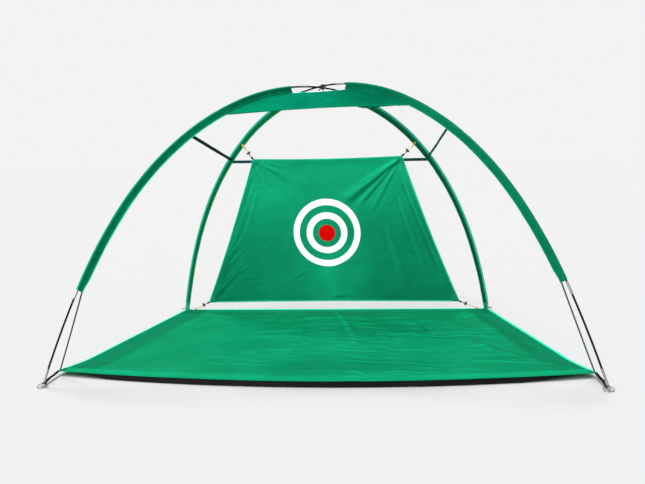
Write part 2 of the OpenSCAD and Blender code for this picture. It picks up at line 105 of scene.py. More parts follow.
def _hash(ix, iy, seed):
    n = (ix.astype(np.int64) * 374761393 + iy.astype(np.int64) * 668265263 + seed * 974711 + 12345) & 0xFFFFFFFF
    n = ((n ^ (n >> 13)) * 1274126177) & 0xFFFFFFFF
    return ((n ^ (n >> 16)) & 0xFFFF) / 32767.5 - 1.0


def noise2(x, y=0.0, seed=0):
    """Smooth value noise from -1 to 1."""
    x, y = np.broadcast_arrays(np.asarray(x, float), np.asarray(y, float))
    ix, iy = np.floor(x), np.floor(y)
    fx, fy = x - ix, y - iy
    ux, uy = fx * fx * fx * (fx * (6 * fx - 15) + 10), fy * fy * fy * (fy * (6 * fy - 15) + 10)
    a, b = _hash(ix, iy, seed), _hash(ix + 1, iy, seed)
    c, d = _hash(ix, iy + 1, seed), _hash(ix + 1, iy + 1, seed)
    return lerp(lerp(a, b, ux), lerp(c, d, ux), uy)


def fbm(x, y=0.0, seed=0, octaves=3):
    out, amp, total = 0.0, 1.0, 0.0
    for k in range(octaves):
        out = out + amp * noise2(np.asarray(x) * 2.03 ** k + 7.1 * k, np.asarray(y) * 2.03 ** k - 3.7 * k, seed + 31 * k)
        total += amp
        amp *= 0.5
    return out / total


def crease(X, Y, a, b, w0, w1, h, skew=0.6, head=0.12, tail=0.4, side=1):
    """A ridge from a to b that widens from w0 to w1, with a valley on its right-hand side, or its left where side is -1."""
    ax, ay = a
    dx, dy = b[0] - ax, b[1] - ay
    ll = math.hypot(dx, dy)
    t = ((X - ax) * dx + (Y - ay) * dy) / (ll * ll)
    c = ((X - ax) * dy - (Y - ay) * dx) / ll
    w = w0 + (w1 - w0) * np.clip(t, 0, 1)
    env = smooth(t / head) * smooth((1 - t) / tail)
    q = side * c / w
    return h * env * (np.exp(-q * q) - skew * np.exp(-((q - 1.5) / 0.9) ** 2))


# ------------------------------------------------------------------ the poles' curve, as in the part's source
MM = 0.001
FRONT_W, REAR_W, DEPTH = 3.0, 2.4, 1.98
ROD_D, POLE_END_Z, END_IN = 0.011, 0.034, 0.012
BENDS = [5, 10, 15, 17, 21, 23, 19, 16, 13, 10]
SLEEVE_D, CLOTH_T = 0.042, 0.0025
BARE = {"front_left": 0.248, "front_right": 0.202, "rear_left": 0.176, "rear_right": 0.176}
SEAM = SLEEVE_D - 0.003
REACH = {"front_left": 0.745, "front_right": 0.705, "rear_right": 0.390, "rear_left": 0.390}
RUN_X = (FRONT_W + REAR_W) / 2
SPAN = math.hypot(RUN_X, DEPTH)
UX, UY = RUN_X / SPAN, DEPTH / SPAN
LIFT_B = ROD_D + 0.0006
_u = [(0.0, 0.0, 0.0)]
for b in BENDS:
    px, py, ph = _u[-1]
    c = 2 / math.radians(b) * math.sin(math.radians(b / 2))
    _u.append((px + c * math.cos(math.radians(ph - b / 2)), py + c * math.sin(math.radians(ph - b / 2)), ph - b))
SEC = (SPAN - 2 * END_IN) / math.hypot(_u[-1][0], _u[-1][1])
A0 = -math.degrees(math.atan2(_u[-1][1], _u[-1][0]))
TOTAL = SEC * len(BENDS)
ca, sa = math.cos(math.radians(A0)), math.sin(math.radians(A0))
ST = [(END_IN + SEC * (p[0] * ca - p[1] * sa), POLE_END_Z + SEC * (p[0] * sa + p[1] * ca), p[2] + A0) for p in _u]


def at(s):
    """Arrays u, z and heading (radians) at lengths s along a pole."""
    s = np.atleast_1d(np.asarray(s, float))
    i = np.clip(np.floor(s / SEC).astype(int), 0, len(BENDS) - 1)
    b = np.radians(np.array(BENDS, float))[i] * (s / SEC - i)
    st = np.array(ST)[i]
    h0 = np.radians(st[:, 2])
    c = 2 * SEC / np.radians(np.array(BENDS, float))[i] * np.sin(b / 2)
    return st[:, 0] + c * np.cos(h0 - b / 2), st[:, 1] + c * np.sin(h0 - b / 2), h0 - b


def pole_frame(pole, s):
    """Centre, outward, across (towards the camera's side) and tangent of pole a or b at s."""
    u, z, h = at(s)
    d = np.array([UX, UY, 0.0]) if pole == "a" else np.array([-UX, UY, 0.0])
    base = np.array([-FRONT_W / 2, -DEPTH / 2, 0.0]) if pole == "a" else np.array([FRONT_W / 2, -DEPTH / 2, LIFT_B])
    across = np.array([UY, -UX, 0.0]) if pole == "a" else np.array([-UY, -UX, 0.0])
    zz = np.array([0.0, 0.0, 1.0])
    C = base + u[:, None] * d + z[:, None] * zz
    O = -np.sin(h)[:, None] * d + np.cos(h)[:, None] * zz
    T = np.cos(h)[:, None] * d + np.sin(h)[:, None] * zz
    return C, O, np.repeat(across[None], len(u), 0), T


lo, hi = 0.0, TOTAL
for _ in range(50):
    mid = (lo + hi) / 2
    if at(mid)[0][0] < FRONT_W / 2 / UX:
        lo = mid
    else:
        hi = mid
S_X = (lo + hi) / 2
CROSS_Z = float(at(S_X)[1][0])
CROSS_Y = -DEPTH / 2 + FRONT_W / 2 / UX * UY

# each arm: pole, where its sleeve starts and ends, noise seed
ARMS = {
    "front_left": ("a", 0.520, S_X - BARE["front_left"], 11),
    "front_right": ("b", 0.548, S_X - BARE["front_right"], 23),
    "rear_left": ("b", S_X + BARE["rear_left"], TOTAL - 0.008, 37),
    "rear_right": ("a", S_X + BARE["rear_right"], TOTAL - 0.008, 51),
}


def flange_depth(arm, s):
    """How deep the sleeve's flat edge reaches at s; it's narrower at the front arms' lower ends."""
    s = np.asarray(s, float)
    d = SLEEVE_D + 0.0007 * noise2(s / 0.05, 3.3, ARMS[arm][3])
    if arm.startswith("front"):
        d = d - 0.009 * smooth(1 - (s - ARMS[arm][1]) / 0.09)
    return d


def sway(arm, s, depth):
    """Sideways wander of the flat edge, growing with depth."""
    seed = ARMS[arm][3]
    s = np.asarray(s, float)
    k = np.clip((np.asarray(depth) - 0.012) / 0.030, 0, 1.2)
    return k * (0.0022 * noise2(s / 0.15, 0.5, seed) + 0.0011 * noise2(s / 0.043, 1.5, seed + 1)) \
        + k * 0.0005 * noise2(s / 0.017, 2.5, seed + 2)


def seam_pt(arm, s, depth=SEAM):
    """Points on the arm's sleeve at a depth inside the pole's axis."""
    s = np.atleast_1d(np.asarray(s, float))
    C, O, A, T = pole_frame(ARMS[arm][0], s)
    depth = np.broadcast_to(np.asarray(depth, float), s.shape)
    return C - O * depth[:, None] + A * sway(arm, s, depth)[:, None]


# ------------------------------------------------------------------ materials
class Mat:
    """A node material with a few shorthands."""

    def __init__(self, name, colour):
        self.m = bpy.data.materials.new(name)
        self.m.use_nodes = True
        self.m.diffuse_color = (*colour, 1.0)
        self.t = self.m.node_tree
        self.t.nodes.clear()
        self.out = self.t.nodes.new("ShaderNodeOutputMaterial")

    def node(self, kind, **kw):
        n = self.t.nodes.new(kind)
        for k, v in kw.items():
            if k.startswith("in_"):
                n.inputs[k[3:].replace("_", " ")].default_value = v
            elif k.startswith("i") and k[1:].isdigit():
                n.inputs[int(k[1:])].default_value = v
            else:
                setattr(n, k, v)
        return n

    def link(self, a, b):
        self.t.links.new(a, b)

    def math(self, op, a, b=None, clamp=False):
        n = self.node("ShaderNodeMath", operation=op, use_clamp=clamp)
        for k, v in enumerate((a, b)):
            if v is None:
                continue
            if isinstance(v, (int, float)):
                n.inputs[k].default_value = v
            else:
                self.link(v, n.inputs[k])
        return n.outputs[0]

    def mixc(self, fac, a, b, blend="MIX"):
        n = self.node("ShaderNodeMix", data_type="RGBA", blend_type=blend)
        for sock, v in ((n.inputs[0], fac), (n.inputs[6], a), (n.inputs[7], b)):
            if isinstance(v, (int, float)):
                sock.default_value = v
            elif isinstance(v, tuple):
                sock.default_value = (*v, 1.0)
            else:
                self.link(v, sock)
        return n.outputs[2]

    def flat(self):
        return self.node("ShaderNodeAttribute", attribute_type="GEOMETRY", attribute_name="flat").outputs["Vector"]

    def tone(self):
        return self.node("ShaderNodeAttribute", attribute_type="GEOMETRY", attribute_name="tone").outputs["Fac"]

    def obj(self):
        return self.node("ShaderNodeTexCoord").outputs["Object"]

    def scaled(self, vec, sx, sy, sz=1.0):
        n = self.node("ShaderNodeMapping")
        n.inputs["Scale"].default_value = (sx, sy, sz)
        self.link(vec, n.inputs["Vector"])
        return n.outputs[0]

    def noise(self, vec, scale, detail=3.0, rough=0.5, dist=0.0):
        n = self.node("ShaderNodeTexNoise")
        n.inputs["Scale"].default_value = scale
        n.inputs["Detail"].default_value = detail
        n.inputs["Roughness"].default_value = rough
        n.inputs["Distortion"].default_value = dist
        self.link(vec, n.inputs["Vector"])
        return n.outputs[0]

    def wave(self, vec, period, axis="X", dist=0.0):
        n = self.node("ShaderNodeTexWave", wave_type="BANDS", bands_direction=axis, wave_profile="SIN")
        n.inputs["Scale"].default_value = 2 * math.pi / (20 * period)
        n.inputs["Distortion"].default_value = dist
        n.inputs["Detail"].default_value = 1.0
        self.link(vec, n.inputs["Vector"])
        return n.outputs["Fac"]

    def ramp(self, fac, lo, hi, a=0.0, b=1.0):
        n = self.node("ShaderNodeMapRange", clamp=True)
        for k, v in zip(("From Min", "From Max", "To Min", "To Max"), (lo, hi, a, b)):
            n.inputs[k].default_value = v
        self.link(fac, n.inputs["Value"])
        return n.outputs[0]

    def bump(self, height, strength, distance, normal=None):
        n = self.node("ShaderNodeBump")
        n.inputs["Strength"].default_value = strength
        n.inputs["Distance"].default_value = distance
        self.link(height, n.inputs["Height"])
        if normal is not None:
            self.link(normal, n.inputs["Normal"])
        return n.outputs[0]

    def principled(self, colour, rough, normal=None, **kw):
        p = self.node("ShaderNodeBsdfPrincipled")
        for sock, v in (("Base Color", colour), ("Roughness", rough)):
            if isinstance(v, tuple):
                p.inputs[sock].default_value = (*v, 1.0)
            elif isinstance(v, (int, float)):
                p.inputs[sock].default_value = v
            else:
                self.link(v, p.inputs[sock])
        if normal is not None:
            self.link(normal, p.inputs["Normal"])
        for k, v in kw.items():
            p.inputs[k.replace("_", " ")].default_value = v
        return p

    def done(self, shader):
        self.link(shader, self.out.inputs["Surface"])
        return self.m


def cloth_mat(name, base, dark, rough=0.46, thin=0.22, sheen=0.20, weave=0.0009, crinkle=0.35, spec=0.09, rib=0.0,
              rings=False, painted_shade_col=None):
    """Satin polyester: plain weave, yarn slubs, handling crinkles and slow colour drift; thin lets light through."""
    m = Mat(name, base)
    uv = m.flat()
    wx, wy = m.wave(uv, weave, "X", 0.6), m.wave(uv, weave, "Y", 0.6)
    w = m.math("MULTIPLY", m.math("ADD", wx, wy), 0.5)
    slub = m.noise(m.scaled(uv, 60, 900), 1.0, 2.0)
    slub2 = m.noise(m.scaled(uv, 900, 60), 1.0, 2.0)
    crk = m.noise(uv, 26.0, 5.0, 0.62, 1.2)
    big = m.noise(uv, 3.1, 3.0, 0.55, 0.6)
    h = m.math("ADD", m.math("MULTIPLY", w, 0.16), m.math("MULTIPLY", m.math("ADD", slub, slub2), 0.12))
    nrm = m.bump(h, 0.35, 0.0006)
    nrm = m.bump(crk, crinkle, 0.0035, nrm)
    if rib:
        rb = m.wave(uv, rib, "X", 2.5)
        nrm = m.bump(rb, 0.25, 0.0012, nrm)
    drift = m.ramp(big, 0.32, 0.68)
    col = m.mixc(drift, dark, base)
    yarn = m.ramp(m.math("ADD", slub, slub2), 0.75, 1.25, 0.94, 1.05)
    # the tone attribute carries painted light and shade
    if painted_shade_col:
        # tone picks between a painted shade colour and the cloth colour
        base_t = m.mixc(m.tone(), painted_shade_col, col)
        col = base_t
        tone = yarn
    else:
        tone = m.math("MULTIPLY", m.tone(), yarn)
    comb = m.node("ShaderNodeCombineColor")
    for k in range(3):
        m.link(tone, comb.inputs[k])
    col = m.mixc(1.0, col, comb.outputs[0], "MULTIPLY")
    if rings:
        col = ring_print(m, uv, col)
    rg = m.ramp(m.math("ADD", m.math("MULTIPLY", crk, 0.6), m.math("MULTIPLY", w, 0.4)), 0.25, 0.75, rough - 0.06, rough + 0.08)
    p = m.principled(col, rg, nrm, Sheen_Weight=sheen, Sheen_Roughness=0.4, Specular_IOR_Level=spec)
    p.inputs["Sheen Tint"].default_value = (0.02, 0.75, 0.45, 1.0)
    if thin <= 0:
        return m.done(p.outputs[0])
    tr = m.node("ShaderNodeBsdfTranslucent")
    m.link(col, tr.inputs["Color"])
    m.link(nrm, tr.inputs["Normal"])
    mix = m.node("ShaderNodeMixShader")
    mix.inputs[0].default_value = thin
    m.link(p.outputs[0], mix.inputs[1])
    m.link(tr.outputs[0], mix.inputs[2])
    return m.done(mix.outputs[0])


RING_C = (-0.0206, -0.0022)


def ring_print(m, uv, col):
    """Two white rings and a red disc, printed taller than wide; thin, slightly worn ink."""
    sep = m.node("ShaderNodeSeparateXYZ")
    m.link(uv, sep.inputs[0])
    x = m.math("SUBTRACT", sep.outputs[0], RING_C[0])
    y = m.math("DIVIDE", m.math("SUBTRACT", sep.outputs[1], RING_C[1]), 1.088)
    r = m.math("SQRT", m.math("ADD", m.math("MULTIPLY", x, x), m.math("MULTIPLY", y, y)))
    r = m.math("ADD", r, m.math("MULTIPLY", m.math("SUBTRACT", m.noise(uv, 900.0, 2.0), 0.5), 0.0012))
    e = 0.0008
    white = None
    for a, b in ((0.2087, 0.2552), (0.1081, 0.1559)):
        band = m.math("MULTIPLY", m.ramp(r, a - e, a + e), m.ramp(r, b - e, b + e, 1.0, 0.0))
        white = band if white is None else m.math("ADD", white, band, True)
    wear = m.ramp(m.noise(uv, 220.0, 4.0, 0.7), 0.28, 0.40, 0.96, 1.0)
    ink = m.mixc(m.ramp(m.noise(uv, 14.0, 3.0), 0.3, 0.7), (0.965, 0.970, 0.965), (0.985, 0.985, 0.985))
    col = m.mixc(m.math("MULTIPLY", white, wear), col, ink)
    disc = m.math("MULTIPLY", m.ramp(r, 0.0628 - e, 0.0628 + e, 1.0, 0.0), wear)
    red = m.mixc(m.ramp(m.noise(uv, 30.0, 3.0), 0.3, 0.7), (0.63, 0.0014, 0.0008), (0.73, 0.0022, 0.0012))
    return m.mixc(disc, col, red)


def webbing_mat(name, base, rough=0.6, pitch=0.0017, sheen=0.1, spec=0.15):
    """Woven tape: ribs across it and a finer weave along it."""
    m = Mat(name, base)
    uv = m.flat()
    ribs, cross = m.wave(uv, pitch, "X", 0.3), m.wave(uv, pitch * 0.8, "Y", 0.3)
    h = m.math("ADD", m.math("MULTIPLY", ribs, 0.6), m.math("MULTIPLY", cross, 0.4))
    fuzz = m.noise(uv, 1400.0, 2.0)
    nrm = m.bump(m.math("ADD", h, m.math("MULTIPLY", fuzz, 0.3)), 0.6, 0.0006)
    # the weave's hollows are painted darker and its ribs lighter, painted shade
    dk = tuple(0.55 * c for c in base)
    lt = tuple(min(1.0, 1.35 * c + 0.004) for c in base)
    col = m.mixc(m.ramp(h, 0.2, 0.8), dk, lt)
    big = m.ramp(m.noise(uv, 22.0, 3.0), 0.3, 0.7, 0.85, 1.1)
    comb = m.node("ShaderNodeCombineColor")
    for k in range(3):
        m.link(big, comb.inputs[k])
    col = m.mixc(1.0, col, comb.outputs[0], "MULTIPLY")
    rg = m.ramp(h, 0.0, 1.0, rough + 0.1, rough - 0.05)
    return m.done(m.principled(col, rg, nrm, Sheen_Weight=sheen, Sheen_Roughness=0.5, Specular_IOR_Level=spec).outputs[0])


def braid_mat(name, base, tracer, diameter, rough=0.65):
    """Braided cord: flat is (length, turns round it in metres)."""
    m = Mat(name, base)
    uv = m.flat()
    sep = m.node("ShaderNodeSeparateXYZ")
    m.link(uv, sep.inputs[0])
    k = diameter * 0.55
    a = m.math("SINE", m.math("MULTIPLY", m.math("ADD", sep.outputs[0], m.math("MULTIPLY", sep.outputs[1], 0.8)), 2 * math.pi / k))
    b = m.math("SINE", m.math("MULTIPLY", m.math("SUBTRACT", sep.outputs[0], m.math("MULTIPLY", sep.outputs[1], 0.8)), 2 * math.pi / k))
    h = m.math("MAXIMUM", a, b)
    nrm = m.bump(h, 0.55, diameter * 0.09)
    nrm = m.bump(m.noise(uv, 2200.0, 2.0), 0.25, 0.0003, nrm)
    col = m.mixc(m.ramp(a, 0.55, 0.9), base, tracer)
    # the braid's grooves are painted darker, painted shade
    col = m.mixc(m.ramp(h, -0.6, 0.4, 0.45, 0.0), col, tuple(0.4 * c for c in base))
    rg = m.ramp(h, -1.0, 1.0, rough + 0.15, rough - 0.05)
    return m.done(m.principled(col, rg, nrm, Sheen_Weight=0.15, Specular_IOR_Level=0.3).outputs[0])


def pole_mat():
    """Black glass-fibre tube: fine lengthwise glass, faint scuffs."""
    m = Mat("pole_black_m", (0.009, 0.0085, 0.009))
    o = m.obj()
    fib = m.noise(m.scaled(o, 40, 40, 700), 1.0, 4.0, 0.6)
    scuff = m.noise(o, 34.0, 6.0, 0.7, 0.4)
    col = m.mixc(m.ramp(scuff, 0.60, 0.72), (0.0065, 0.006, 0.0065), (0.018, 0.017, 0.017))
    nrm = m.bump(fib, 0.14, 0.0004)
    rg = m.ramp(scuff, 0.35, 0.7, 0.40, 0.58)
    return m.done(m.principled(col, rg, nrm, Specular_IOR_Level=0.05).outputs[0])


def metal_mat(name, lo_c, hi_c, rough, metallic=1.0, grain=(30.0, 30.0, 1200.0)):
    """Drawn metal: lines, tarnish blotches, small scratches."""
    m = Mat(name, hi_c)
    o = m.obj()
    line = m.noise(m.scaled(o, *grain), 1.0, 3.0, 0.6)
    blot = m.noise(o, 55.0, 4.0, 0.6, 0.5)
    scr = m.noise(m.scaled(o, 900, 900, 60), 1.0, 2.0, 0.5)
    col = m.mixc(m.ramp(blot, 0.35, 0.66), lo_c, hi_c)
    nrm = m.bump(line, 0.10, 0.0003)
    nrm = m.bump(scr, 0.06, 0.0002, nrm)
    rg = m.ramp(m.math("ADD", m.math("MULTIPLY", blot, 0.6), m.math("MULTIPLY", line, 0.4)), 0.3, 0.7, rough - 0.07, rough + 0.10)
    return m.done(m.principled(col, rg, nrm, Metallic=metallic).outputs[0])


def plastic_mat(name, base, rough=0.42):
    """Moulded plastic with a spark-eroded grain and rubbed edges."""
    m = Mat(name, base)
    o = m.obj()
    grain = m.noise(o, 2600.0, 3.0, 0.6)
    rub = m.noise(o, 260.0, 4.0, 0.6)
    geo = m.node("ShaderNodeNewGeometry")
    edge = m.ramp(geo.outputs["Pointiness"], 0.50, 0.58)
    col = m.mixc(m.math("MULTIPLY", edge, m.ramp(rub, 0.35, 0.6)), base, tuple(c * 2 + 0.008 for c in base))
    nrm = m.bump(grain, 0.22, 0.0002)
    rg = m.ramp(rub, 0.3, 0.7, rough - 0.06, rough + 0.08)
    return m.done(m.principled(col, rg, nrm, Specular_IOR_Level=0.22).outputs[0])


def strand_mat(name, base):
    """Clear, fine, knotless netting twine."""
    m = Mat(name, base)
    uv = m.flat()
    tw = m.wave(uv, 0.0035, "DIAGONAL", 0.4)
    col = m.mixc(m.ramp(m.noise(uv, 9.0, 2.0), 0.3, 0.7), tuple(0.93 * c for c in base), base)
    nrm = m.bump(tw, 0.5, 0.0003)
    p = m.principled(col, m.ramp(tw, 0, 1, 0.65, 0.5), nrm, Specular_IOR_Level=0.3, Alpha=0.34)
    tr = m.node("ShaderNodeBsdfTranslucent")
    m.link(col, tr.inputs["Color"])
    m.link(nrm, tr.inputs["Normal"])
    mix = m.node("ShaderNodeMixShader")
    mix.inputs[0].default_value = 0.22
    m.link(p.outputs[0], mix.inputs[1])
    m.link(tr.outputs[0], mix.inputs[2])
    return m.done(mix.outputs[0])


M_SLEEVE = cloth_mat("sleeve_cloth", (0.0022, 0.228, 0.112), (0.0016, 0.185, 0.088), rough=0.45, thin=0.04, crinkle=0.50, sheen=0.01, spec=0.01)
# rear sleeves: the light teal is a painted highlight on the round part, and the dark colour after it is painted shade
# for the flat edge
M_REAR = cloth_mat("rear_sleeve_cloth", (0.030, 0.420, 0.320), (0.022, 0.345, 0.260), rough=0.45, thin=0.0, crinkle=0.5, sheen=0.01, spec=0.01,
                   painted_shade_col=(0.0004, 0.074, 0.016))
M_ROOF = cloth_mat("roof_cloth_m", (0.0012, 0.172, 0.090), (0.0008, 0.136, 0.068), rough=0.50, thin=0.10, crinkle=0.45, sheen=0.0, spec=0.0)
M_FLOOR = cloth_mat("floor_cloth", (0.0028, 0.236, 0.106), (0.0024, 0.200, 0.087), rough=0.55, thin=0.0, crinkle=0.55, sheen=0.0, spec=0.004)
M_TARGET = cloth_mat("target_cloth_m", (0.0042, 0.268, 0.130), (0.0036, 0.236, 0.110), rough=0.46, thin=0.03, crinkle=0.26, sheen=0.02, spec=0.02, rings=True)
M_GREEN_WEB = webbing_mat("green_webbing", (0.0022, 0.190, 0.085), rough=0.7, sheen=0.0, spec=0.02)
M_MINT = cloth_mat("mint_binding", (0.008, 0.640, 0.430), (0.006, 0.560, 0.360), rough=0.5, thin=0.0, crinkle=0.3, weave=0.0012, sheen=0.05, spec=0.05)
M_HEM = cloth_mat("target_binding", (0.006, 0.440, 0.285), (0.005, 0.385, 0.240), rough=0.5, thin=0.0, crinkle=0.3, weave=0.0012, sheen=0.03, spec=0.04)
# near-black cloth used as a painted shadow under the floor's front edge
M_SHADOW_SHEET = cloth_mat("painted_shadow_sheet", (0.0060, 0.0060, 0.0065), (0.0040, 0.0040, 0.0045), rough=0.7, thin=0.0, crinkle=0.4, sheen=0.0, spec=0.05)
M_TEAL = webbing_mat("teal_binding", (0.0026, 0.040, 0.042), rough=0.70, sheen=0.0, spec=0.02)
M_WEB = webbing_mat("dark_webbing", (0.005, 0.005, 0.0055), rough=0.75, sheen=0.0, spec=0.03)
M_YELLOW_WEB = webbing_mat("yellow_elastic_tape", (0.72, 0.42, 0.030), rough=0.7, sheen=0.0, spec=0.06)
M_YELLOW = braid_mat("elastic_braid", (0.70, 0.38, 0.020), (0.80, 0.52, 0.07), 0.0058)
M_SHOCK = braid_mat("shock_braid", (0.72, 0.72, 0.70), (0.10, 0.10, 0.11), 0.0026)
M_TIE = braid_mat("tie_braid", (0.014, 0.014, 0.015), (0.030, 0.030, 0.032), 0.0044)
M_THREAD = webbing_mat("sewing_thread", (0.012, 0.40, 0.24), rough=0.6, pitch=0.0006)
M_THREAD_DK = webbing_mat("dark_thread", (0.03, 0.03, 0.03), rough=0.6, pitch=0.0006)
M_NET = strand_mat("netting_twine", (0.96, 0.97, 0.96))
M_POLE = pole_mat()
M_FERRULE = metal_mat("ferrule_metal", (0.27, 0.27, 0.28), (0.37, 0.37, 0.385), 0.50)
M_STEEL = metal_mat("wire_zinc", (0.13, 0.13, 0.135), (0.26, 0.26, 0.265), 0.42, grain=(500.0, 500.0, 500.0))
M_SPRING = metal_mat("spring_wire", (0.38, 0.38, 0.39), (0.62, 0.62, 0.63), 0.28, grain=(800.0, 800.0, 800.0))
M_LOCK = plastic_mat("lock_plastic", (0.014, 0.014, 0.015))
M_EYELET = metal_mat("eyelet_black", (0.020, 0.020, 0.022), (0.045, 0.045, 0.048), 0.40, metallic=0.6, grain=(400.0, 400.0, 400.0))


# ------------------------------------------------------------------ mesh building
def make(name, V, F, mat, body="root", flat=None, tone=None, nodes=(), slot=None, shade=True):
    """A piece from points and faces, with its flat coordinates in metres and a tone."""
    V = np.asarray(V, float)
    me = bpy.data.meshes.new(name)
    me.from_pydata(V.tolist(), [], F.tolist() if isinstance(F, np.ndarray) else F)
    a = me.attributes.new("flat", "FLOAT_VECTOR", "POINT")
    fl = np.zeros((len(V), 3)) if flat is None else np.asarray(flat, float)
    if fl.shape[1] == 2:
        fl = np.concatenate([fl, np.zeros((len(fl), 1))], 1)
    a.data.foreach_set("vector", fl.astype(np.float32).ravel())
    a = me.attributes.new("tone", "FLOAT", "POINT")
    tn = np.ones(len(V)) if tone is None else np.broadcast_to(np.asarray(tone, float), (len(V),))
    a.data.foreach_set("value", np.ascontiguousarray(tn, dtype=np.float32))
    me.materials.append(mat)
    me.polygons.foreach_set("use_smooth", np.full(len(me.polygons), bool(shade)))
    me.update()
    o = bpy.data.objects.new(name, me)
    scene.collection.objects.link(o)
    if body:
        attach(o, body)
    if nodes:
        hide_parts(*nodes)
    return o


def grid_faces(nr, nc, wrap=False, flip=False, start=0):
    cols = nc if wrap else nc - 1
    j, i = np.meshgrid(np.arange(nr - 1), np.arange(cols), indexing="ij")
    k = lambda a, b: start + a * nc + (b % nc)
    f = np.stack([k(j, i), k(j, i + 1), k(j + 1, i + 1), k(j + 1, i)], -1).reshape(-1, 4)
    return f[:, ::-1] if flip else f


def grid_normals(P, wrap=False):
    if wrap:
        du = np.roll(P, -1, 1) - np.roll(P, 1, 1)
    else:
        du = np.gradient(P, axis=1)
    dv = np.gradient(P, axis=0)
    return unit(np.cross(du, dv))


def cloth_sheet(name, P, t, mat, flat, wrap=False, tone=None, **kw):
    """A closed sheet of thickness t round the grid of points P."""
    nr, nc = P.shape[:2]
    n = grid_normals(P, wrap)
    V = np.concatenate([(P + n * t / 2).reshape(-1, 3), (P - n * t / 2).reshape(-1, 3)])
    m = nr * nc
    F = [grid_faces(nr, nc, wrap), grid_faces(nr, nc, wrap, True, m)]
    cols = np.arange(nc if wrap else nc - 1)
    nx = (cols + 1) % nc
    F.append(np.stack([nx, cols, m + cols, m + nx], -1))
    b = (nr - 1) * nc
    F.append(np.stack([b + cols, b + nx, m + b + nx, m + b + cols], -1))
    if not wrap:
        r = np.arange(nr - 1) * nc
        F.append(np.stack([r, r + nc, m + r + nc, m + r], -1))
        e = r + nc - 1
        F.append(np.stack([e + nc, e, m + e, m + e + nc], -1))
    fl = np.concatenate([flat.reshape(-1, flat.shape[-1])] * 2)
    tn = None if tone is None else np.concatenate([tone.ravel()] * 2)
    return make(name, V, np.concatenate(F), mat, flat=fl, tone=tn, **kw)


def arc_len(path):
    return np.concatenate([[0], np.cumsum(np.linalg.norm(np.diff(path, axis=0), axis=1))])


def resample(path, step):
    path = np.asarray(path, float)
    L = arc_len(path)
    n = max(2, int(round(L[-1] / step)) + 1)
    q = np.linspace(0, L[-1], n)
    return np.stack([np.interp(q, L, path[:, k]) for k in range(3)], -1)


def catmull(points, per=8, closed=False):
    """A smooth curve through points."""
    p = np.asarray(points, float)
    if closed:
        p = np.concatenate([p[-1:], p, p[:2]])
    else:
        p = np.concatenate([2 * p[:1] - p[1:2], p, 2 * p[-1:] - p[-2:-1]])
    out = []
    for i in range(1, len(p) - 2):
        for t in np.arange(per) / per:
            out.append(0.5 * ((2 * p[i]) + (-p[i - 1] + p[i + 1]) * t + (2 * p[i - 1] - 5 * p[i] + 4 * p[i + 1] - p[i + 2]) * t * t
                              + (-p[i - 1] + 3 * p[i] - 3 * p[i + 1] + p[i + 2]) * t ** 3))
    if not closed:
        out.append(p[-2])
    return np.array(out)


def swept(path, up, prof, closed=False):
    """Points of a profile (side, up) swept along a path, and its frames. prof is (m, 2) or (n, m, 2)."""
    path = np.asarray(path, float)
    n = len(path)
    t = unit(np.roll(path, -1, 0) - np.roll(path, 1, 0)) if closed else unit(np.gradient(path, axis=0))
    up = np.broadcast_to(np.asarray(up, float), path.shape)
    side = unit(np.cross(t, up))
    u2 = np.cross(side, t)
    prof = np.broadcast_to(np.asarray(prof, float), (n,) + np.asarray(prof).shape[-2:])
    return path[:, None] + side[:, None] * prof[..., 0:1] + u2[:, None] * prof[..., 1:2], side, u2


def tube_mesh(path, up, prof, closed=False):
    P, side, u2 = swept(path, up, prof, closed)
    n, m = P.shape[:2]
    F = grid_faces(n, m, wrap=True).tolist()
    if closed:
        F += [[(n - 1) * m + i, (n - 1) * m + (i + 1) % m, (i + 1) % m, i] for i in range(m)]
    else:
        F += [list(range(m - 1, -1, -1)), [(n - 1) * m + i for i in range(m)]]
    L = arc_len(path)
    pr = np.asarray(prof, float)
    pr = pr if pr.ndim == 2 else pr[0]
    q = arc_len(np.concatenate([np.concatenate([pr, pr[:1]]), np.zeros((m + 1, 1))], 1))[:m]
    flat = np.stack(np.broadcast_arrays(L[:, None], q[None]), -1).reshape(-1, 2)
    return P.reshape(-1, 3), F, flat


def sweep(name, path, up, prof, mat, closed=False, **kw):
    V, F, flat = tube_mesh(path, up, prof, closed)
    return make(name, V, F, mat, flat=flat, **kw)


def join(parts):
    """One set of points and faces from several."""
    V, F, fl, o = [], [], [], 0
    for v, f, q in parts:
        V.append(v)
        F += [[k + o for k in g] for g in (f.tolist() if isinstance(f, np.ndarray) else f)]
        fl.append(q)
        o += len(v)
    return np.concatenate(V), F, np.concatenate(fl)


def round_prof(r, k=12):
    a = 2 * np.pi * np.arange(k) / k
    return np.stack([r * np.cos(a), r * np.sin(a)], -1)


def flat_prof(w, h, cx=0.0, cy=0.0, r=None, k=3):
    """Rounded rectangle, w across and h thick."""
    r = min(w, h) * 0.42 if r is None else r
    pts = []
    for sx, sy, a0 in ((1, 1, 0), (-1, 1, 90), (-1, -1, 180), (1, -1, 270)):
        for q in range(k + 1):
            a = math.radians(a0 + 90 * q / k)
            pts.append((cx + sx * (w / 2 - r) + r * math.cos(a), cy + sy * (h / 2 - r) + r * math.sin(a)))
    out = []
    for a, b in zip(pts, pts[1:] + pts[:1]):
        out.append(a)
        d = math.hypot(b[0] - a[0], b[1] - a[1])
        for q in range(1, int(d / 0.004)):
            t = q / int(d / 0.004)
            out.append((a[0] + (b[0] - a[0]) * t, a[1] + (b[1] - a[1]) * t))
    return np.array(out)


STITCHES = {}


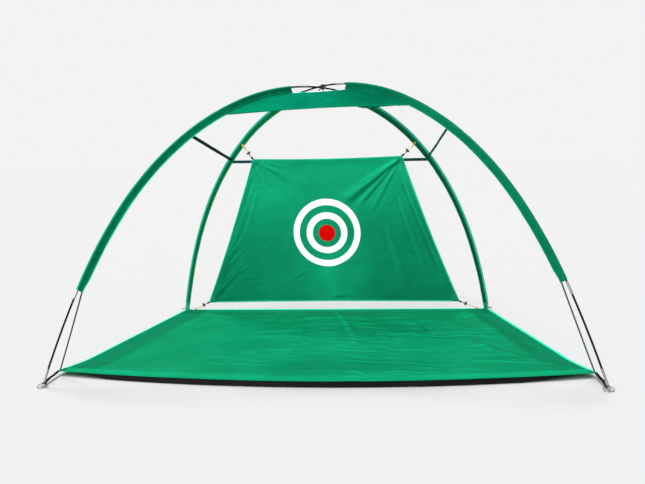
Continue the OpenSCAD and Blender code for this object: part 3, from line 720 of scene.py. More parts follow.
def stitch(group, path, up, side_off=0.0, lift=0.0009, pitch=0.0042, length=0.0030, r=0.00042):
    """A row of raised stitches along a path, kept for one mesh per group."""
    path = resample(path, pitch / 2)
    up = np.asarray(up, float)
    if up.ndim == 2 and len(up) != len(path):
        k = np.linspace(0, len(up) - 1, len(path))
        up = unit(np.stack([np.interp(k, np.arange(len(up)), up[:, c]) for c in range(3)], -1))
    up = np.broadcast_to(up, path.shape)
    t = unit(np.gradient(path, axis=0))
    side = unit(np.cross(t, up))
    u2 = np.cross(side, t)
    c = (path + side * side_off + u2 * lift)[1::2]
    t, side, u2 = t[1::2], side[1::2], u2[1::2]
    e = t * length / 2
    V = np.stack([c - e - u2 * r, c + side * r * 1.2 - e * .3, c + u2 * r - e * .3, c - side * r * 1.2 - e * .3,
                  c + side * r * 1.2 + e * .3, c + u2 * r + e * .3, c - side * r * 1.2 + e * .3, c + e - u2 * r, c - u2 * r], 1)
    F0 = np.array([[0, 2, 1], [0, 3, 2], [7, 4, 5], [7, 5, 6], [0, 1, 8], [8, 1, 4], [7, 8, 4], [0, 8, 3], [3, 8, 6], [8, 7, 6]])
    Q0 = np.array([[1, 2, 5], [1, 5, 4], [2, 3, 6], [2, 6, 5]])
    T0 = np.concatenate([F0, Q0])
    n = len(c)
    F = (T0[None] + 9 * np.arange(n)[:, None, None]).reshape(-1, 3)
    STITCHES.setdefault(group, []).append((V.reshape(-1, 3), F))


def sew_groups():
    for (name, body, dark), rows in STITCHES.items():
        V, F, o = [], [], 0
        for v, f in rows:
            V.append(v)
            F.append(f + o)
            o += len(v)
        V = np.concatenate(V)
        make(name, V, np.concatenate(F), M_THREAD_DK if dark else M_THREAD, body=body, flat=V[:, :2].copy())


# ------------------------------------------------------------------ sleeves
def sleeve(arm):
    pole, s0, s1, seed = ARMS[arm]
    front = arm.startswith("front")
    n = int((s1 - s0) / 0.0046)
    S = np.linspace(s0, s1, n)
    C, O, A, T = pole_frame(pole, S)
    D = flange_depth(arm, S)
    r = 0.0088
    half = []  # (y, x, kind): kind 0 round pocket, 1 taper, 2 flat edge
    for phi in np.linspace(0, 120, 12):
        half.append((r * math.cos(math.radians(phi)), r * math.sin(math.radians(phi)), 0))
    for v in np.linspace(0, 1, 10)[1:]:
        half.append((-0.0044 - 0.0160 * v, 0.00762 * (1 - v) ** 1.15 + 0.0011 * v, 1))
    for v in (0.06, 0.25, 0.5, 0.75, 1.0):
        half.append((v, 0.00150 if v > 0.1 else 0.00135, 2))
    right = half
    left = [(y, -x, k) for y, x, k in half[::-1]][:-1]
    loop = right + left
    m = len(loop)
    Y = np.zeros((n, m))
    X = np.zeros((n, m))
    for q, (y, x, k) in enumerate(loop):
        Y[:, q] = y if k < 2 else -0.0204 - y * (D - 0.0204)
        X[:, q] = x
    kinds = np.array([k for _, _, k in loop])
    ang = np.arctan2(X, Y)
    ss = S[:, None]
    # loose cloth round the pole: slow bagginess, cross puckers from the seam, a few diagonal drags
    bag = 1 + 0.050 * noise2(ss / 0.11, ang * 0.9, seed) + 0.045 * noise2(ss / 0.030, ang * 0.8 + 9, seed + 3)
    puck = 0.030 * noise2(ss / 0.0125, ang * 1.6 + 4, seed + 5)
    grip = np.exp(-((Y + 0.0204) / 0.010) ** 2)
    scale = np.where(kinds[None] < 2, bag + puck * (0.6 + 1.2 * grip), 1.0)
    X2 = X * scale
    Y2 = np.where(Y > 0, Y * (1 + (scale - 1) * 0.8), Y)
    diag = 0.0009 * np.sin(2 * np.pi * (ss / 0.062 + Y / 0.034) + 3 * noise2(ss / 0.2, 0, seed + 7)) \
        * smooth((noise2(ss / 0.17, 0, seed + 8) + 0.1) * 1.4)
    X2 = X2 + np.sign(X) * diag * np.where(kinds[None] == 1, 1.0, 0.35)
    X2 = X2 + sway(arm, ss, -Y2)
    # ripple of the flat edge between stitches
    X2 = X2 + np.where(kinds[None] == 2, 0.00045 * noise2(ss / 0.0085, -Y * 60, seed + 9), 0.0)
    # the cut ends slant towards the seam
    frac = np.clip((-Y2 + 0.005) / 0.040, 0, 1)
    if front:
        dS = -0.009 * frac * smooth(1 - (ss - s0) / 0.05) + 0.014 * frac * smooth(1 - (s1 - ss) / 0.06)
    else:
        dS = -0.014 * frac * smooth(1 - (ss - s0) / 0.06) + 0.0 * frac
    P = C[:, None] + O[:, None] * Y2[..., None] + A[:, None] * X2[..., None] + T[:, None] * dS[..., None]
    # tone is painted light and shade: the round part lighter, the flat edge darker with a painted dark line at the
    # stitching; the right front arm and the left rear arm are painted darker than their partners
    depth = np.clip(-Y2 / D[:, None], 0, 1)
    if front:
        tone = (1.06 if arm == "front_left" else 0.60) - 0.10 * smooth((depth - 0.30) / 0.25) - 0.16 * np.exp(-((Y2 + 0.0204) / 0.0016) ** 2)
    else:
        tone = 1.0 - smooth((depth - 0.16) / 0.16)
        tone = tone * ((0.66 if arm == "rear_left" else 0.94) + 0.10 * noise2(ss / 0.006, ang * 0.6, seed + 13)) + (0.0 if arm == "rear_left" else 0.05)
    tone = tone * (1 + 0.06 * noise2(ss / 0.02, ang, seed + 12))
    q = np.concatenate([[0], np.cumsum(np.hypot(np.diff(X[n // 2]), np.diff(Y[n // 2])))])
    flat = np.stack(np.broadcast_arrays(ss, q[None]), -1).reshape(-1, 2)
    # open ends: a turned-in hem makes the tube's mouth, so the ends are closed by an annulus round the pole
    V = P.reshape(-1, 3)
    F = grid_faces(n, m, wrap=True, flip=True)
    # inner wall, a millimetre inside the outer one, for the pocket only
    inner_r = 0.0072
    k = 20
    a = 2 * np.pi * np.arange(k) / k
    PI = C[:, None] + O[:, None] * (inner_r * np.cos(a))[None, :, None] + A[:, None] * (inner_r * np.sin(a))[None, :, None]
    VI = PI.reshape(-1, 3)
    FI = grid_faces(n, k, wrap=True, flip=False) + len(V)
    caps = []
    for e, rev in ((0, False), (n - 1, True)):
        ring_o = [e * m + i for i in range(m)]
        ring_i = [len(V) + e * k + i for i in range(k)]
        ang_o = [math.atan2(X[e, i], Y[e, i]) if kinds[i] < 1 else (math.pi if X[e, i] > 0 else -math.pi) for i in range(m)]
        # bridge the round pockets with a strip that walks both rings
        oi = [(an % (2 * math.pi), i) for an, i in ((math.atan2(X[e, i], Y[e, i]), i) for i in range(m))]
        i0, i1 = 0, 0
        seq_o = ring_o
        seq_i = ring_i
        ao = np.unwrap([math.atan2(X[e, i], Y[e, i]) for i in range(m)] + [math.atan2(X[e, 0], Y[e, 0]) + 2 * math.pi])
        ai = 2 * np.pi * np.arange(k + 1) / k
        ao = ao - ao[0]
        while i0 < m or i1 < k:
            if i1 >= k or (i0 < m and ao[i0 + 1] <= ai[i1 + 1]):
                f = [seq_o[i0 % m], seq_o[(i0 + 1) % m], seq_i[i1 % k]]
                i0 += 1
            else:
                f = [seq_o[i0 % m], seq_i[(i1 + 1) % k], seq_i[i1 % k]]
                i1 += 1
            caps.append(f[::-1] if rev else f)
    Vall = np.concatenate([V, VI])
    Fall = F.tolist() + FI.tolist() + caps
    fl = np.concatenate([flat, np.zeros((len(VI), 2))])
    # the pocket's inner wall is painted darker, painted shade
    tn = np.concatenate([tone.ravel(), np.full(len(VI), 0.6)])
    o = make(f"sleeve_{arm}_fabric", Vall, Fall, M_SLEEVE if front else M_REAR, flat=fl, tone=tn, nodes=[f"sleeve_{arm}"], slot="sleeve_green")
    # pocket seam stitching on both faces
    for sgn in (1, -1):
        yy = -0.0204
        path = C + O * yy + A * (sgn * 0.0011 + sway(arm, S, 0.0204))[:, None]
        stitch(("stitches_shell", "root", False), path[2:-2], (A * sgn)[2:-2], lift=0.0002, pitch=0.0046, r=0.00045)
    # folded binding on the flat edge
    d = D - 0.0012
    path = C - O * d[:, None] + A * sway(arm, S, d)[:, None]
    if front:
        e = -0.009 * smooth(1 - (S - s0) / 0.05) + 0.014 * smooth(1 - (s1 - S) / 0.06)
    else:
        e = -0.014 * smooth(1 - (S - s0) / 0.06)
    path = path + T * e[:, None]
    wob = 1 + 0.10 * noise2(S / 0.02, 5.0, seed + 20)
    prof = flat_prof(0.0048, 0.0062, r=0.0019)[None] * wob[:, None, None]
    # the left front arm's binding is mint below the roof, a painted highlight; the right front arm's is in the
    # sleeve's green, and both take the roof's green under the roof
    if front:
        k = int(np.searchsorted(S, S_X - REACH[arm] + 0.01))
        sweep(f"edge_binding_{arm}", path[:k], O[:k], prof[:k], M_MINT if arm == "front_left" else M_SLEEVE, slot="sleeve_green")
        sweep(f"edge_binding_{arm}_roof", path[k - 1:], O[k - 1:], prof[k - 1:], M_ROOF, slot="sleeve_green")
    else:
        sweep(f"edge_binding_{arm}", path, O, prof, M_SLEEVE, slot="sleeve_green")
    return o


for arm in ARMS:
    sleeve(arm)


def gusset(arm):
    """The strip of sleeve cloth between a rear sleeve's lower end and the floor's corner."""
    side = -1 if arm.endswith("left") else 1
    s_e = ARMS[arm][2]
    nr, nc = 20, 12
    v = np.linspace(0, 1, nc)
    D = float(flange_depth(arm, s_e))
    C, O, A, T = pole_frame(ARMS[arm][0], [s_e - 0.014])
    face = A[0] * (-1.0 if A[0][1] > 0 else 1.0)
    top = C - O * lerp(0.0215, D - 0.0010, v)[:, None] + face * 0.0030
    low = np.stack([side * lerp(FLOOR_REAR_X - 0.002, FLOOR_REAR_X - 0.034, v), lerp(0.9395, 0.9285, v), np.full(nc, 0.0085)], -1)
    t = np.linspace(0, 1, nr)[:, None, None]
    P = lerp(top[None], low[None], t)
    bow = np.sin(np.pi * t[..., 0]) * (0.0030 + 0.0016 * noise2(v[None] * 3, t[..., 0] * 2, 91 + side))
    P = P + face * bow[..., None]
    P = P + unit(top[0] - top[-1]) * (np.sin(np.pi * t[..., 0]) * (v[None] - 0.5) * -0.006)[..., None]
    flat = np.stack(np.broadcast_arrays(v[None] * 0.030, t[..., 0] * 0.055), -1)
    cloth_sheet(f"sleeve_foot_{arm}", P, 0.0012, M_SLEEVE, flat, tone=np.full((nr, nc), 0.86), slot="sleeve_green")
    g = ("stitches_shell", "root", False)
    stitch(g, P[2] + face * 0.0008, face, lift=0.0002, pitch=0.0046, r=0.00045)
    stitch(g, P[-2] + face * 0.0008, face, lift=0.0002, pitch=0.0046, r=0.00045)

# ------------------------------------------------------------------ roof
ORDER = ["front_left", "front_right", "rear_right", "rear_left"]


def arm_at(arm, d):
    """Seam point of an arm at lengths d from the crossing."""
    s = S_X - d if arm.startswith("front") else S_X + d
    return seam_pt(arm, s)


def roof():
    rows, per = 64, 72
    t = np.linspace(0, 1, rows)
    P = np.zeros((rows, 4 * per, 3))
    flat = np.zeros((rows, 4 * per, 2))
    tone = np.ones((rows, 4 * per))
    for k, arm in enumerate(ORDER):
        nx = ORDER[(k + 1) % 4]
        da, db = lerp(BARE[arm] + 0.004, REACH[arm], t), lerp(BARE[nx] + 0.004, REACH[nx], t)
        pa, pb = arm_at(arm, da), arm_at(nx, db)
        f = np.arange(per) / per
        G = pa[:, None] + (pb - pa)[:, None] * f[None, :, None]
        w = np.linalg.norm(pb - pa, axis=1)
        mid = (pa + pb) / 2
        drop = arc_len(mid)
        X = (f[None] - 0.5) * w[:, None]
        Yf = -np.repeat(drop[:, None], per, 1)
        ll = drop[-1]
        W = w[-1]
        seed = 60 + 7 * k
        h = 0.004 * fbm(X / 0.30, Yf / 0.22, seed) + 0.0016 * fbm(X / 0.075, Yf / 0.05, seed + 1)
        h = h + 0.0007 * noise2(X / 0.024, Yf / 0.02, seed + 2)
        L, R = (-W / 2, -ll), (W / 2, -ll)
        TL, TR = (-w[0] / 2, 0.0), (w[0] / 2, 0.0)
        if k == 0:
            # long drags fan out from the left corner; the right corner pulls along its sleeve
            for bx, by, w0, w1, hh, sk in ((0.46, 0.30, .006, .030, .0085, .9), (0.30, 0.52, .006, .026, .0075, .8),
                                           (0.62, 0.13, .005, .020, .0055, .7), (0.14, 0.70, .006, .022, .0060, .8),
                                           (0.42, 0.42, .004, .012, .0035, .9), (0.55, 0.22, .004, .012, .0030, .8)):
                h = h + crease(X, Yf, L, (L[0] + bx * W, L[1] + by * ll), w0, w1, hh, sk)
            for bx, by, w0, w1, hh, sk in ((0.34, 0.62, .006, .022, -.0065, .8), (0.42, 0.36, .006, .026, -.0055, .7),
                                           (0.52, 0.12, .005, .018, -.0040, .6)):
                h = h + crease(X, Yf, R, (R[0] - bx * W, R[1] + by * ll), w0, w1, -hh, -sk)
            h = h + crease(X, Yf, TL, (TL[0] + 0.34 * W, -0.85 * ll), .005, .022, .0045)
            h = h + crease(X, Yf, TR, (TR[0] - 0.22 * W, -0.75 * ll), .005, .020, .0040, -.5)
            # painted light and shade: the front panel lighter at its left and outer left corner, darker towards its
            # right
            tone[:, k * per:(k + 1) * per] = 1.0 + 0.10 * np.exp(-(((X - L[0]) / 0.30) ** 2 + ((Yf - L[1]) / 0.14) ** 2)) \
                - 0.14 * smooth((X + 0.02) / 0.30) * smooth((Yf + 0.33) / 0.25) - 0.26 * smooth((X + 0.10) / 0.55) + 0.26 * smooth((-0.05 - X) / 0.35)
        else:
            rnd = np.random.RandomState(seed)
            for c, sg in ((L, 1), (R, -1)):
                for _ in range(5):
                    bx, by = rnd.uniform(.25, .6), rnd.uniform(.12, .75)
                    h = h + crease(X, Yf, c, (c[0] + sg * bx * W, c[1] + by * ll), .005, rnd.uniform(.012, .028),
                                   rnd.uniform(.003, .007), sg * rnd.uniform(.4, .9))
        # held along the sleeves, freer in the middle; puckers beside the seams
        env = np.sin(np.pi * np.clip(f, 0, 1)) ** 0.55
        near = np.minimum(f[None] * w[:, None], (1 - f[None]) * w[:, None])
        h = h * env[None] + 0.0013 * noise2(drop[:, None] / 0.016, f[None] * 3, seed + 5) * np.exp(-near / 0.018) * smooth(near / 0.006)
        if k == 0:
            h = h * (1 - 0.8 * smooth((t - 0.80) / 0.2))[:, None]
        sagn = (0.004 if k == 0 else 0.010) * env[None] ** 2 * np.sin(np.pi * t)[:, None]
        n = grid_normals(G)
        n = n * np.sign(n[rows // 2, per // 2, 2] + 1e-9)
        h = h - sagn
        G = G + n * h[..., None]
        # free edges pull in a little between their corners
        edge = smooth((t - 0.7) / 0.3)[:, None] * np.sin(np.pi * f)[None]
        G = G + (mid[0] - mid[-1])[None, None] / max(ll, 1e-6) * ((0.030 if k == 0 else 0.075 if k == 2 else 0.010) * edge)[..., None]
        edge0 = smooth((0.3 - t) / 0.3)[:, None] * np.sin(np.pi * f)[None]
        G = G + (mid[-1] - mid[0])[None, None] / max(ll, 1e-6) * ((0.012 if k == 0 else 0.008) * edge0)[..., None]
        P[:, k * per:(k + 1) * per] = G
        # painted shade by the folds' slopes: faces tipped away from the light darker, faces towards it lighter
        hy = np.gradient(h, axis=0) * rows / max(ll, 1e-6)
        hx = np.gradient(h, axis=1) * per / np.maximum(w[:, None], 0.05)
        tone[:, k * per:(k + 1) * per] -= 0.22 * np.clip(hy - 0.5 * hx, -0.8, 0.8)
        flat[:, k * per:(k + 1) * per] = np.stack([X + k * 1.4 + 0.0 * Yf, Yf], -1)
    o = cloth_sheet("roof_fabric", P, 0.0016, M_ROOF, flat, wrap=True, tone=tone, nodes=["roof_cloth"], slot="roof_green")
    area = float(np.linalg.norm(np.cross(np.roll(P, -1, 1)[:-1] - P[:-1], P[1:] - P[:-1]), axis=-1).sum())
    # bindings: the hole's front half mint as a painted highlight, its rear half and the outer hem in the roof's own
    # green
    n = grid_normals(P, True)
    up = n[0] * np.sign(n[0][:, 2:3].mean())
    ctr = P[0].mean(0)
    sgn = 1.0
    prof = flat_prof(0.0085, 0.0036, r=0.0015)
    sweep("roof_hole_binding_front", P[0, :per + 1], up[:per + 1], prof, M_MINT, slot="roof_green")
    ring = np.concatenate([P[0, per:], P[0, :1]])
    sweep("roof_hole_binding_rear", ring, np.concatenate([up[per:], up[:1]]), prof, M_ROOF, slot="roof_green")
    up = n[-1] * np.sign(n[-1][:, 2:3].mean())
    sweep("roof_outer_hem", P[-1], up, flat_prof(0.0100, 0.0034, r=0.0014), M_ROOF, closed=True, slot="roof_green")
    for row, off in ((2, 0), (rows - 3, 0)):
        lp = np.concatenate([P[row], P[row][:1]])
        un = np.concatenate([n[row], n[row][:1]])
        un = un * np.sign(un[:, 2].mean())
        stitch(("stitches_shell", "root", False), lp, un, lift=0.0009)
    # top-stitching beside the sleeves
    for k in range(4):
        for dc in (2, -2):
            col = (k * per + dc) % (4 * per)
            un = n[:, col] * np.sign(n[:, col, 2].mean())
            stitch(("stitches_shell", "root", False), P[2:-2, col], un[2:-2], lift=0.0009)
    return o, area


roof_obj, roof_area = roof()

# ------------------------------------------------------------------ floor sheet
LIP_H, LIP_RUN, EDGE_BOW = 0.032, 0.600, 0.190
FLOOR_FRONT_Y, FLOOR_REAR_X, FLOOR_REAR_Y = -0.770, 1.188, 0.955
STRAP_REAR_X = 1.165
BOW_R = (FRONT_W ** 2 / 4 + EDGE_BOW ** 2) / (2 * EDGE_BOW)
BOW_A = math.asin(FRONT_W / 2 / BOW_R)


def lip(y):
    return LIP_H * smooth((-DEPTH / 2 + LIP_RUN - np.asarray(y, float)) / (LIP_RUN - 0.030))


def side_x(y):
    return lerp(FRONT_W / 2, FLOOR_REAR_X, (y - FLOOR_FRONT_Y) / (FLOOR_REAR_Y - FLOOR_FRONT_Y))


def floor_grid(nr, nc):
    a = np.linspace(0, 1, nc)
    b = np.linspace(0, 1, nr)
    al = -BOW_A + 2 * BOW_A * a
    fx, fy = BOW_R * np.sin(al), FLOOR_FRONT_Y - EDGE_BOW + BOW_R * (1 - np.cos(al))
    rx, ry = (2 * a - 1) * FLOOR_REAR_X, np.full(nc, FLOOR_REAR_Y)
    X = lerp(fx[None], rx[None], b[:, None])
    Y = lerp(fy[None], ry[None], b[:, None])
    return X, Y


def floor_height(X, Y):
    """Wrinkles of the floor sheet above its rest height."""
    rnd = np.random.RandomState(5)
    h = 0.0035 * (fbm(X / 0.55, Y / 0.35, 71) + 0.35) + 0.0012 * fbm(X / 0.11, Y / 0.06, 72)
    # warped horizontal ripples in the middle and right
    yy = Y + 0.05 * fbm(X / 0.5, Y / 0.5, 73) + 0.012 * fbm(X / 0.12, Y / 0.2, 79) - 0.10 * X * smooth((Y + 0.2) / 0.8)
    field = smooth((X + 0.75) / 0.45) * smooth((1.35 - X) / 0.4)
    rip = np.abs(noise2(X / 0.42, yy / 0.056, 74))
    h = h + field * 0.0095 * np.exp(-(rip / 0.15) ** 2) * smooth((noise2(X / 0.35, Y / 0.22, 75) + 0.65) / 1.0)
    rip2 = np.abs(noise2(X / 0.27, yy / 0.033, 76))
    h = h + field * 0.0056 * np.exp(-(rip2 / 0.24) ** 2) * smooth((noise2(X / 0.28, Y / 0.16, 77) + 0.5) / 0.9)
    # drags from the corners and along the left side
    for c, ends in (((-1.16, 0.95), ((-0.20, 0.30), (0.05, 0.55), (0.3, 0.70))),
                    ((1.16, 0.95), ((0.40, 0.30), (0.62, 0.0), (0.15, 0.6))),
                    ((-1.5, -0.77), ((-0.55, -0.35), (-0.72, 0.05), (-0.35, -0.62), (-0.2, -0.80))),
                    ((1.5, -0.77), ((0.62, -0.40), (0.85, 0.0), (0.45, -0.68)))):
        for e in ends:
            h = h + crease(X, Y, c, e, .008, rnd.uniform(.022, .045), rnd.uniform(.005, .010) * (0.35 if c[0] < 0 else 0.8), rnd.uniform(.2, .7))
    h = h + crease(X, Y, (1.02, 0.90), (1.28, -0.62), .035, .070, .010, -0.3, .1, .3)
    h = h + crease(X, Y, (-0.95, 0.72), (-1.34, -0.50), .030, .060, .004, 0.3, .1, .3)
    h = h + crease(X, Y, (0.02, 0.92), (0.22, -0.05), .018, .030, .006, 0.4, .1, .3)
    for _ in range(16):
        x0, y0 = rnd.uniform(-1.0, 1.2), rnd.uniform(-0.7, 0.75)
        an = rnd.uniform(-0.35, 0.45)
        ll = rnd.uniform(0.25, 0.8)
        h = h + crease(X, Y, (x0, y0), (x0 + ll * math.cos(an), y0 + ll * math.sin(an)), .006, rnd.uniform(.009, .018),
                       rnd.uniform(.0025, .0055), rnd.uniform(-.6, .6), .3, .4)
    return h


def floor():
    nr, nc = 248, 196
    X, Y = floor_grid(nr, nc)
    h = floor_height(X, Y)
    # the front hem stays even and the edges are held down
    b = np.linspace(0, 1, nr)[:, None]
    front = smooth((b - 0.012) / 0.06)
    rear = smooth((1 - b) / 0.03)
    a = np.linspace(0, 1, nc)[None]
    sides = smooth(a / 0.02) * smooth((1 - a) / 0.02)
    h = np.maximum(h, -0.0008) * (0.25 + 0.75 * front * rear * sides)
    lp = lip(Y)
    h = np.where(lp > 0.003, h, np.maximum(h, 0.0))
    # a seam 70 mm in from the front edge, raised a little
    din = (Y - (FLOOR_FRONT_Y - EDGE_BOW + BOW_R * (1 - np.cos(np.arcsin(np.clip(X / BOW_R, -1, 1))))))
    h = h + 0.0022 * np.exp(-((din - 0.074) / 0.007) ** 2) - 0.0018 * np.exp(-((din - 0.090) / 0.008) ** 2)
    droop = -0.004 * np.sin(np.pi * np.clip(a, 0, 1)) * smooth((0.05 - b) / 0.05) * 0.0
    Z = lp + 0.0012 + h + droop
    P = np.stack([X, Y, Z], -1)
    # tone is painted light and shade: a lighter band along the front edge, darker patches left and right, a darker
    # strip inside the side edges mostly on the left, darker towards the rear and the right, and lighter or darker by
    # the wrinkles' slopes
    tone = 1.0 + 0.22 * smooth((0.082 - din) / 0.012)
    tone = tone - 0.05 * np.exp(-(((X + 0.72) / 0.50) ** 2 + ((Y + 0.02) / 0.60) ** 2)) - 0.13 * np.exp(-(((X - 0.60) / 0.50) ** 2 + ((Y - 0.05) / 0.45) ** 2))
    edge_d = np.minimum(side_x(Y) - np.abs(X), 9)
    rim = smooth((din - 0.082) / 0.012)
    tone = tone - 0.24 * smooth((0.22 - edge_d) / 0.05) * rim * (1 - 0.55 * smooth(X / 0.3)) - 0.14 * smooth((Y - 0.70) / 0.20)
    tone = tone - 0.15 * smooth((X - 0.7) / 0.4) * rim
    gx, gy = np.gradient(Z, axis=1) / np.gradient(X, axis=1), np.gradient(Z, axis=0) / np.gradient(Y, axis=0)
    tone = np.clip(tone + 0.30 * np.clip(gx * 0.6 + gy * 0.9, -0.5, 0.5), 0.6, 1.4)
    flat = np.stack([X, Y], -1)
    o = cloth_sheet("floor_fabric", P, 0.0018, M_FLOOR, flat, tone=tone, nodes=["floor_sheet"], slot="floor_green")
    area = float(np.linalg.norm(np.cross(P[:-1, 1:] - P[:-1, :-1], P[1:, :-1] - P[:-1, :-1]), axis=-1).sum())
    up = np.array([0, 0, 1.0])
    for nm, path in (("left", P[:, 0]), ("right", P[::-1, -1]), ("rear", P[-1, ::-1])):
        path = path.copy()
        path[:, 2] = np.maximum(path[:, 2], 0.0022)
        sweep(f"floor_binding_{nm}", path, up, flat_prof(0.0150, 0.0060, cx=0.0015, r=0.0024), M_MINT, slot="floor_green")
    sweep("floor_front_hem", P[0], up, flat_prof(0.0130, 0.0050, r=0.0022), M_FLOOR, slot="floor_green")
    # a near-black sheet hangs under the lifted front edge as a painted shadow in the gap beneath it
    hh = 0.0275 * smooth((1.475 - np.abs(X[0])) / 0.42)
    nb = 7
    v = np.linspace(0, 1, nb)[:, None]
    curl = 0.0016 * noise2(X[0][None] / 0.11, v * 1.2, 79) + 0.0008 * noise2(X[0][None] / 0.03, v * 2, 78)
    B = np.stack([X[0][None] + 0 * v, Y[0][None] + 0.0030 - 0.0160 * (hh[None] / 0.0275) * v ** 3 + curl * v,
                  np.maximum(Z[0][None] - 0.0016 - hh[None] * v, 0.0016)], -1)
    cloth_sheet("floor_backing_fold", B[:, 3:-3], 0.0016, M_SHADOW_SHEET, np.stack([B[:, 3:-3, 0], B[:, 3:-3, 2]], -1), slot="floor_green")
    g = ("stitches_floor", "root", False)
    rows = [int(round(v * (nr - 1))) for v in (0.0045,)]
    stitch(g, P[1, 3:-3], up, lift=0.0011)
    k = np.array([np.argmin(np.abs(din[:, c] - 0.080)) for c in range(nc)])
    stitch(g, P[k, np.arange(nc)][3:-3], up, lift=0.0011)
    stitch(g, P[3:-3, 1], up, lift=0.0011)
    stitch(g, P[3:-3, -2], up, lift=0.0011)
    stitch(g, P[-2, 3:-3], up, lift=0.0011)
    return o, area, P


floor_obj, floor_area, FLOOR_P = floor()

for arm in ("rear_left", "rear_right"):
    gusset(arm)

# ------------------------------------------------------------------ target cloth
T_TOP_Y, T_BOT_Y, T_TOP_Z, T_BOT_Z = 0.562, 0.905, 1.198, 0.076
LEAN = math.atan2(T_BOT_Y - T_TOP_Y, T_TOP_Z - T_BOT_Z)
SLOPE = math.hypot(T_BOT_Y - T_TOP_Y, T_TOP_Z - T_BOT_Z)
T_MID = np.array([-0.010, (T_TOP_Y + T_BOT_Y) / 2, (T_TOP_Z + T_BOT_Z) / 2])
HT, HB = 0.5375, 0.9725
T_FRONT = np.array([0.0, -math.cos(LEAN), -math.sin(LEAN)])  # towards the front


def tp(x, y, w=0.0):
    x, y, w = np.broadcast_arrays(np.asarray(x, float), np.asarray(y, float), np.asarray(w, float))
    return T_MID + np.stack([x, -y * math.sin(LEAN), y * math.cos(LEAN)], -1) + T_FRONT * w[..., None]


def target_fold(X, Y):
    """Height of the target's folds towards the front, from its flat coordinates."""
    TL, TR, BR, BL = (-HT, SLOPE / 2), (HT, SLOPE / 2), (HB, -SLOPE / 2), (-HB, -SLOPE / 2)
    h = 0.0100 * fbm(X / 0.62, Y / 0.50, 81) + 0.0022 * fbm(X / 0.17, Y / 0.15, 82) + 0.0005 * fbm(X / 0.045, Y / 0.04, 83)
    C = lambda a, b, w0, w1, hh, sk=0.6, hd=0.06, tl=0.30, sd=1: crease(X, Y, a, b, max(w0, .0095), max(w1, .0125), hh, sk, hd, tl, sd)
    # right-hand top corner: one long broad drag with its valley beneath, and a finer pair beside it
    h = h + C(TR, (0.100, 0.246), .007, .040, .0108, .50, .04, .14, -1)
    h = h + C(TR, (0.205, 0.205), .006, .022, .0056, .60, .08, .22, -1)
    h = h + C(TR, (0.300, 0.130), .006, .022, .0032, .50, .12, .30, -1)
    h = h + C(TR, (0.150, 0.345), .005, .013, .0022, .60, .12, .35, -1)
    h = h + C((0.545, 0.44), (0.900, -0.42), .010, .020, .0075, .9, .12, .25)
    h = h + C((0.505, 0.34), (0.760, -0.40), .010, .026, .0040, .7, .15, .35)
    h = h + C((0.42, 0.10), (0.60, -0.50), .014, .040, .0040, .5, .2, .4)
    h = h + C(BR, (0.66, -0.06), .008, .026, .0035, .5, .06, .4)
    # left-hand top corner: short sharp drags and a valley down the left edge
    h = h + C(TL, (-0.335, 0.470), .005, .019, .0036, .9, .05, .35)
    h = h + C(TL, (-0.285, 0.525), .005, .017, .0027, .9, .06, .4)
    h = h + C(TL, (-0.380, 0.425), .005, .019, .0033, .9, .06, .4)
    h = h + C(TL, (-0.440, 0.375), .005, .016, .0036, .8, .06, .4)
    h = h + C(TL, (-0.120, 0.340), .008, .044, .0050, .6, .10, .45)
    h = h + C((-0.555, 0.44), (-0.80, -0.14), .012, .026, -.0034, .0, .10, .3)
    h = h + C((-0.525, 0.36), (-0.68, -0.12), .010, .026, .0020, .4, .15, .4)
    # left, lower: short diagonal wrinkles; bottom corners
    rnd = np.random.RandomState(9)
    for x0, y0, dx, dy, hh in ((-.755, -.02, .075, .105, .0016), (-.715, -.10, .060, .100, .0021), (-.775, -.16, .090, .090, .0017),
                               (-.690, -.21, .070, .060, .0014), (-.800, -.27, .110, .120, .0020), (-.725, -.33, .085, .060, .0013),
                               (-.830, -.39, .070, .085, .0015), (-.640, -.05, .050, .080, .0012)):
        h = h + C((x0, y0), (x0 + dx, y0 + dy), .005, rnd.uniform(.007, .011), hh, .8, .3, .45, -1)
    h = h + C(BL, (-0.66, -0.24), .010, .030, .0022, .5, .06, .4)
    h = h + C(BL, (-0.60, -0.50), .008, .022, .0012, .6, .06, .4)
    h = h + C((-0.33, -0.40), (-0.14, -0.29), .010, .016, .0012, .6, .3, .4)
    h = h + C((0.06, -0.58), (-0.02, -0.12), .060, .110, .0085, .0, .1, .5)
    for _ in range(14):
        x0, y0 = rnd.uniform(-.75, .75), rnd.uniform(-.52, .45)
        an = rnd.uniform(0, math.pi)
        ll = rnd.uniform(.08, .26)
        h = h + C((x0, y0), (x0 + ll * math.cos(an), y0 + ll * math.sin(an)), .006, rnd.uniform(.009, .015),
                  rnd.uniform(.0006, .0014), rnd.uniform(.2, .8), .3, .4, rnd.choice((-1, 1)))
    # old packing folds: faint crossing lines
    h = h - 0.0007 * np.exp(-((X + 0.30 + 0.004 * noise2(Y / 0.2, 0, 84)) / 0.008) ** 2)
    h = h - 0.0006 * np.exp(-((Y + 0.30 + 0.004 * noise2(X / 0.2, 0, 86)) / 0.008) ** 2)
    return h


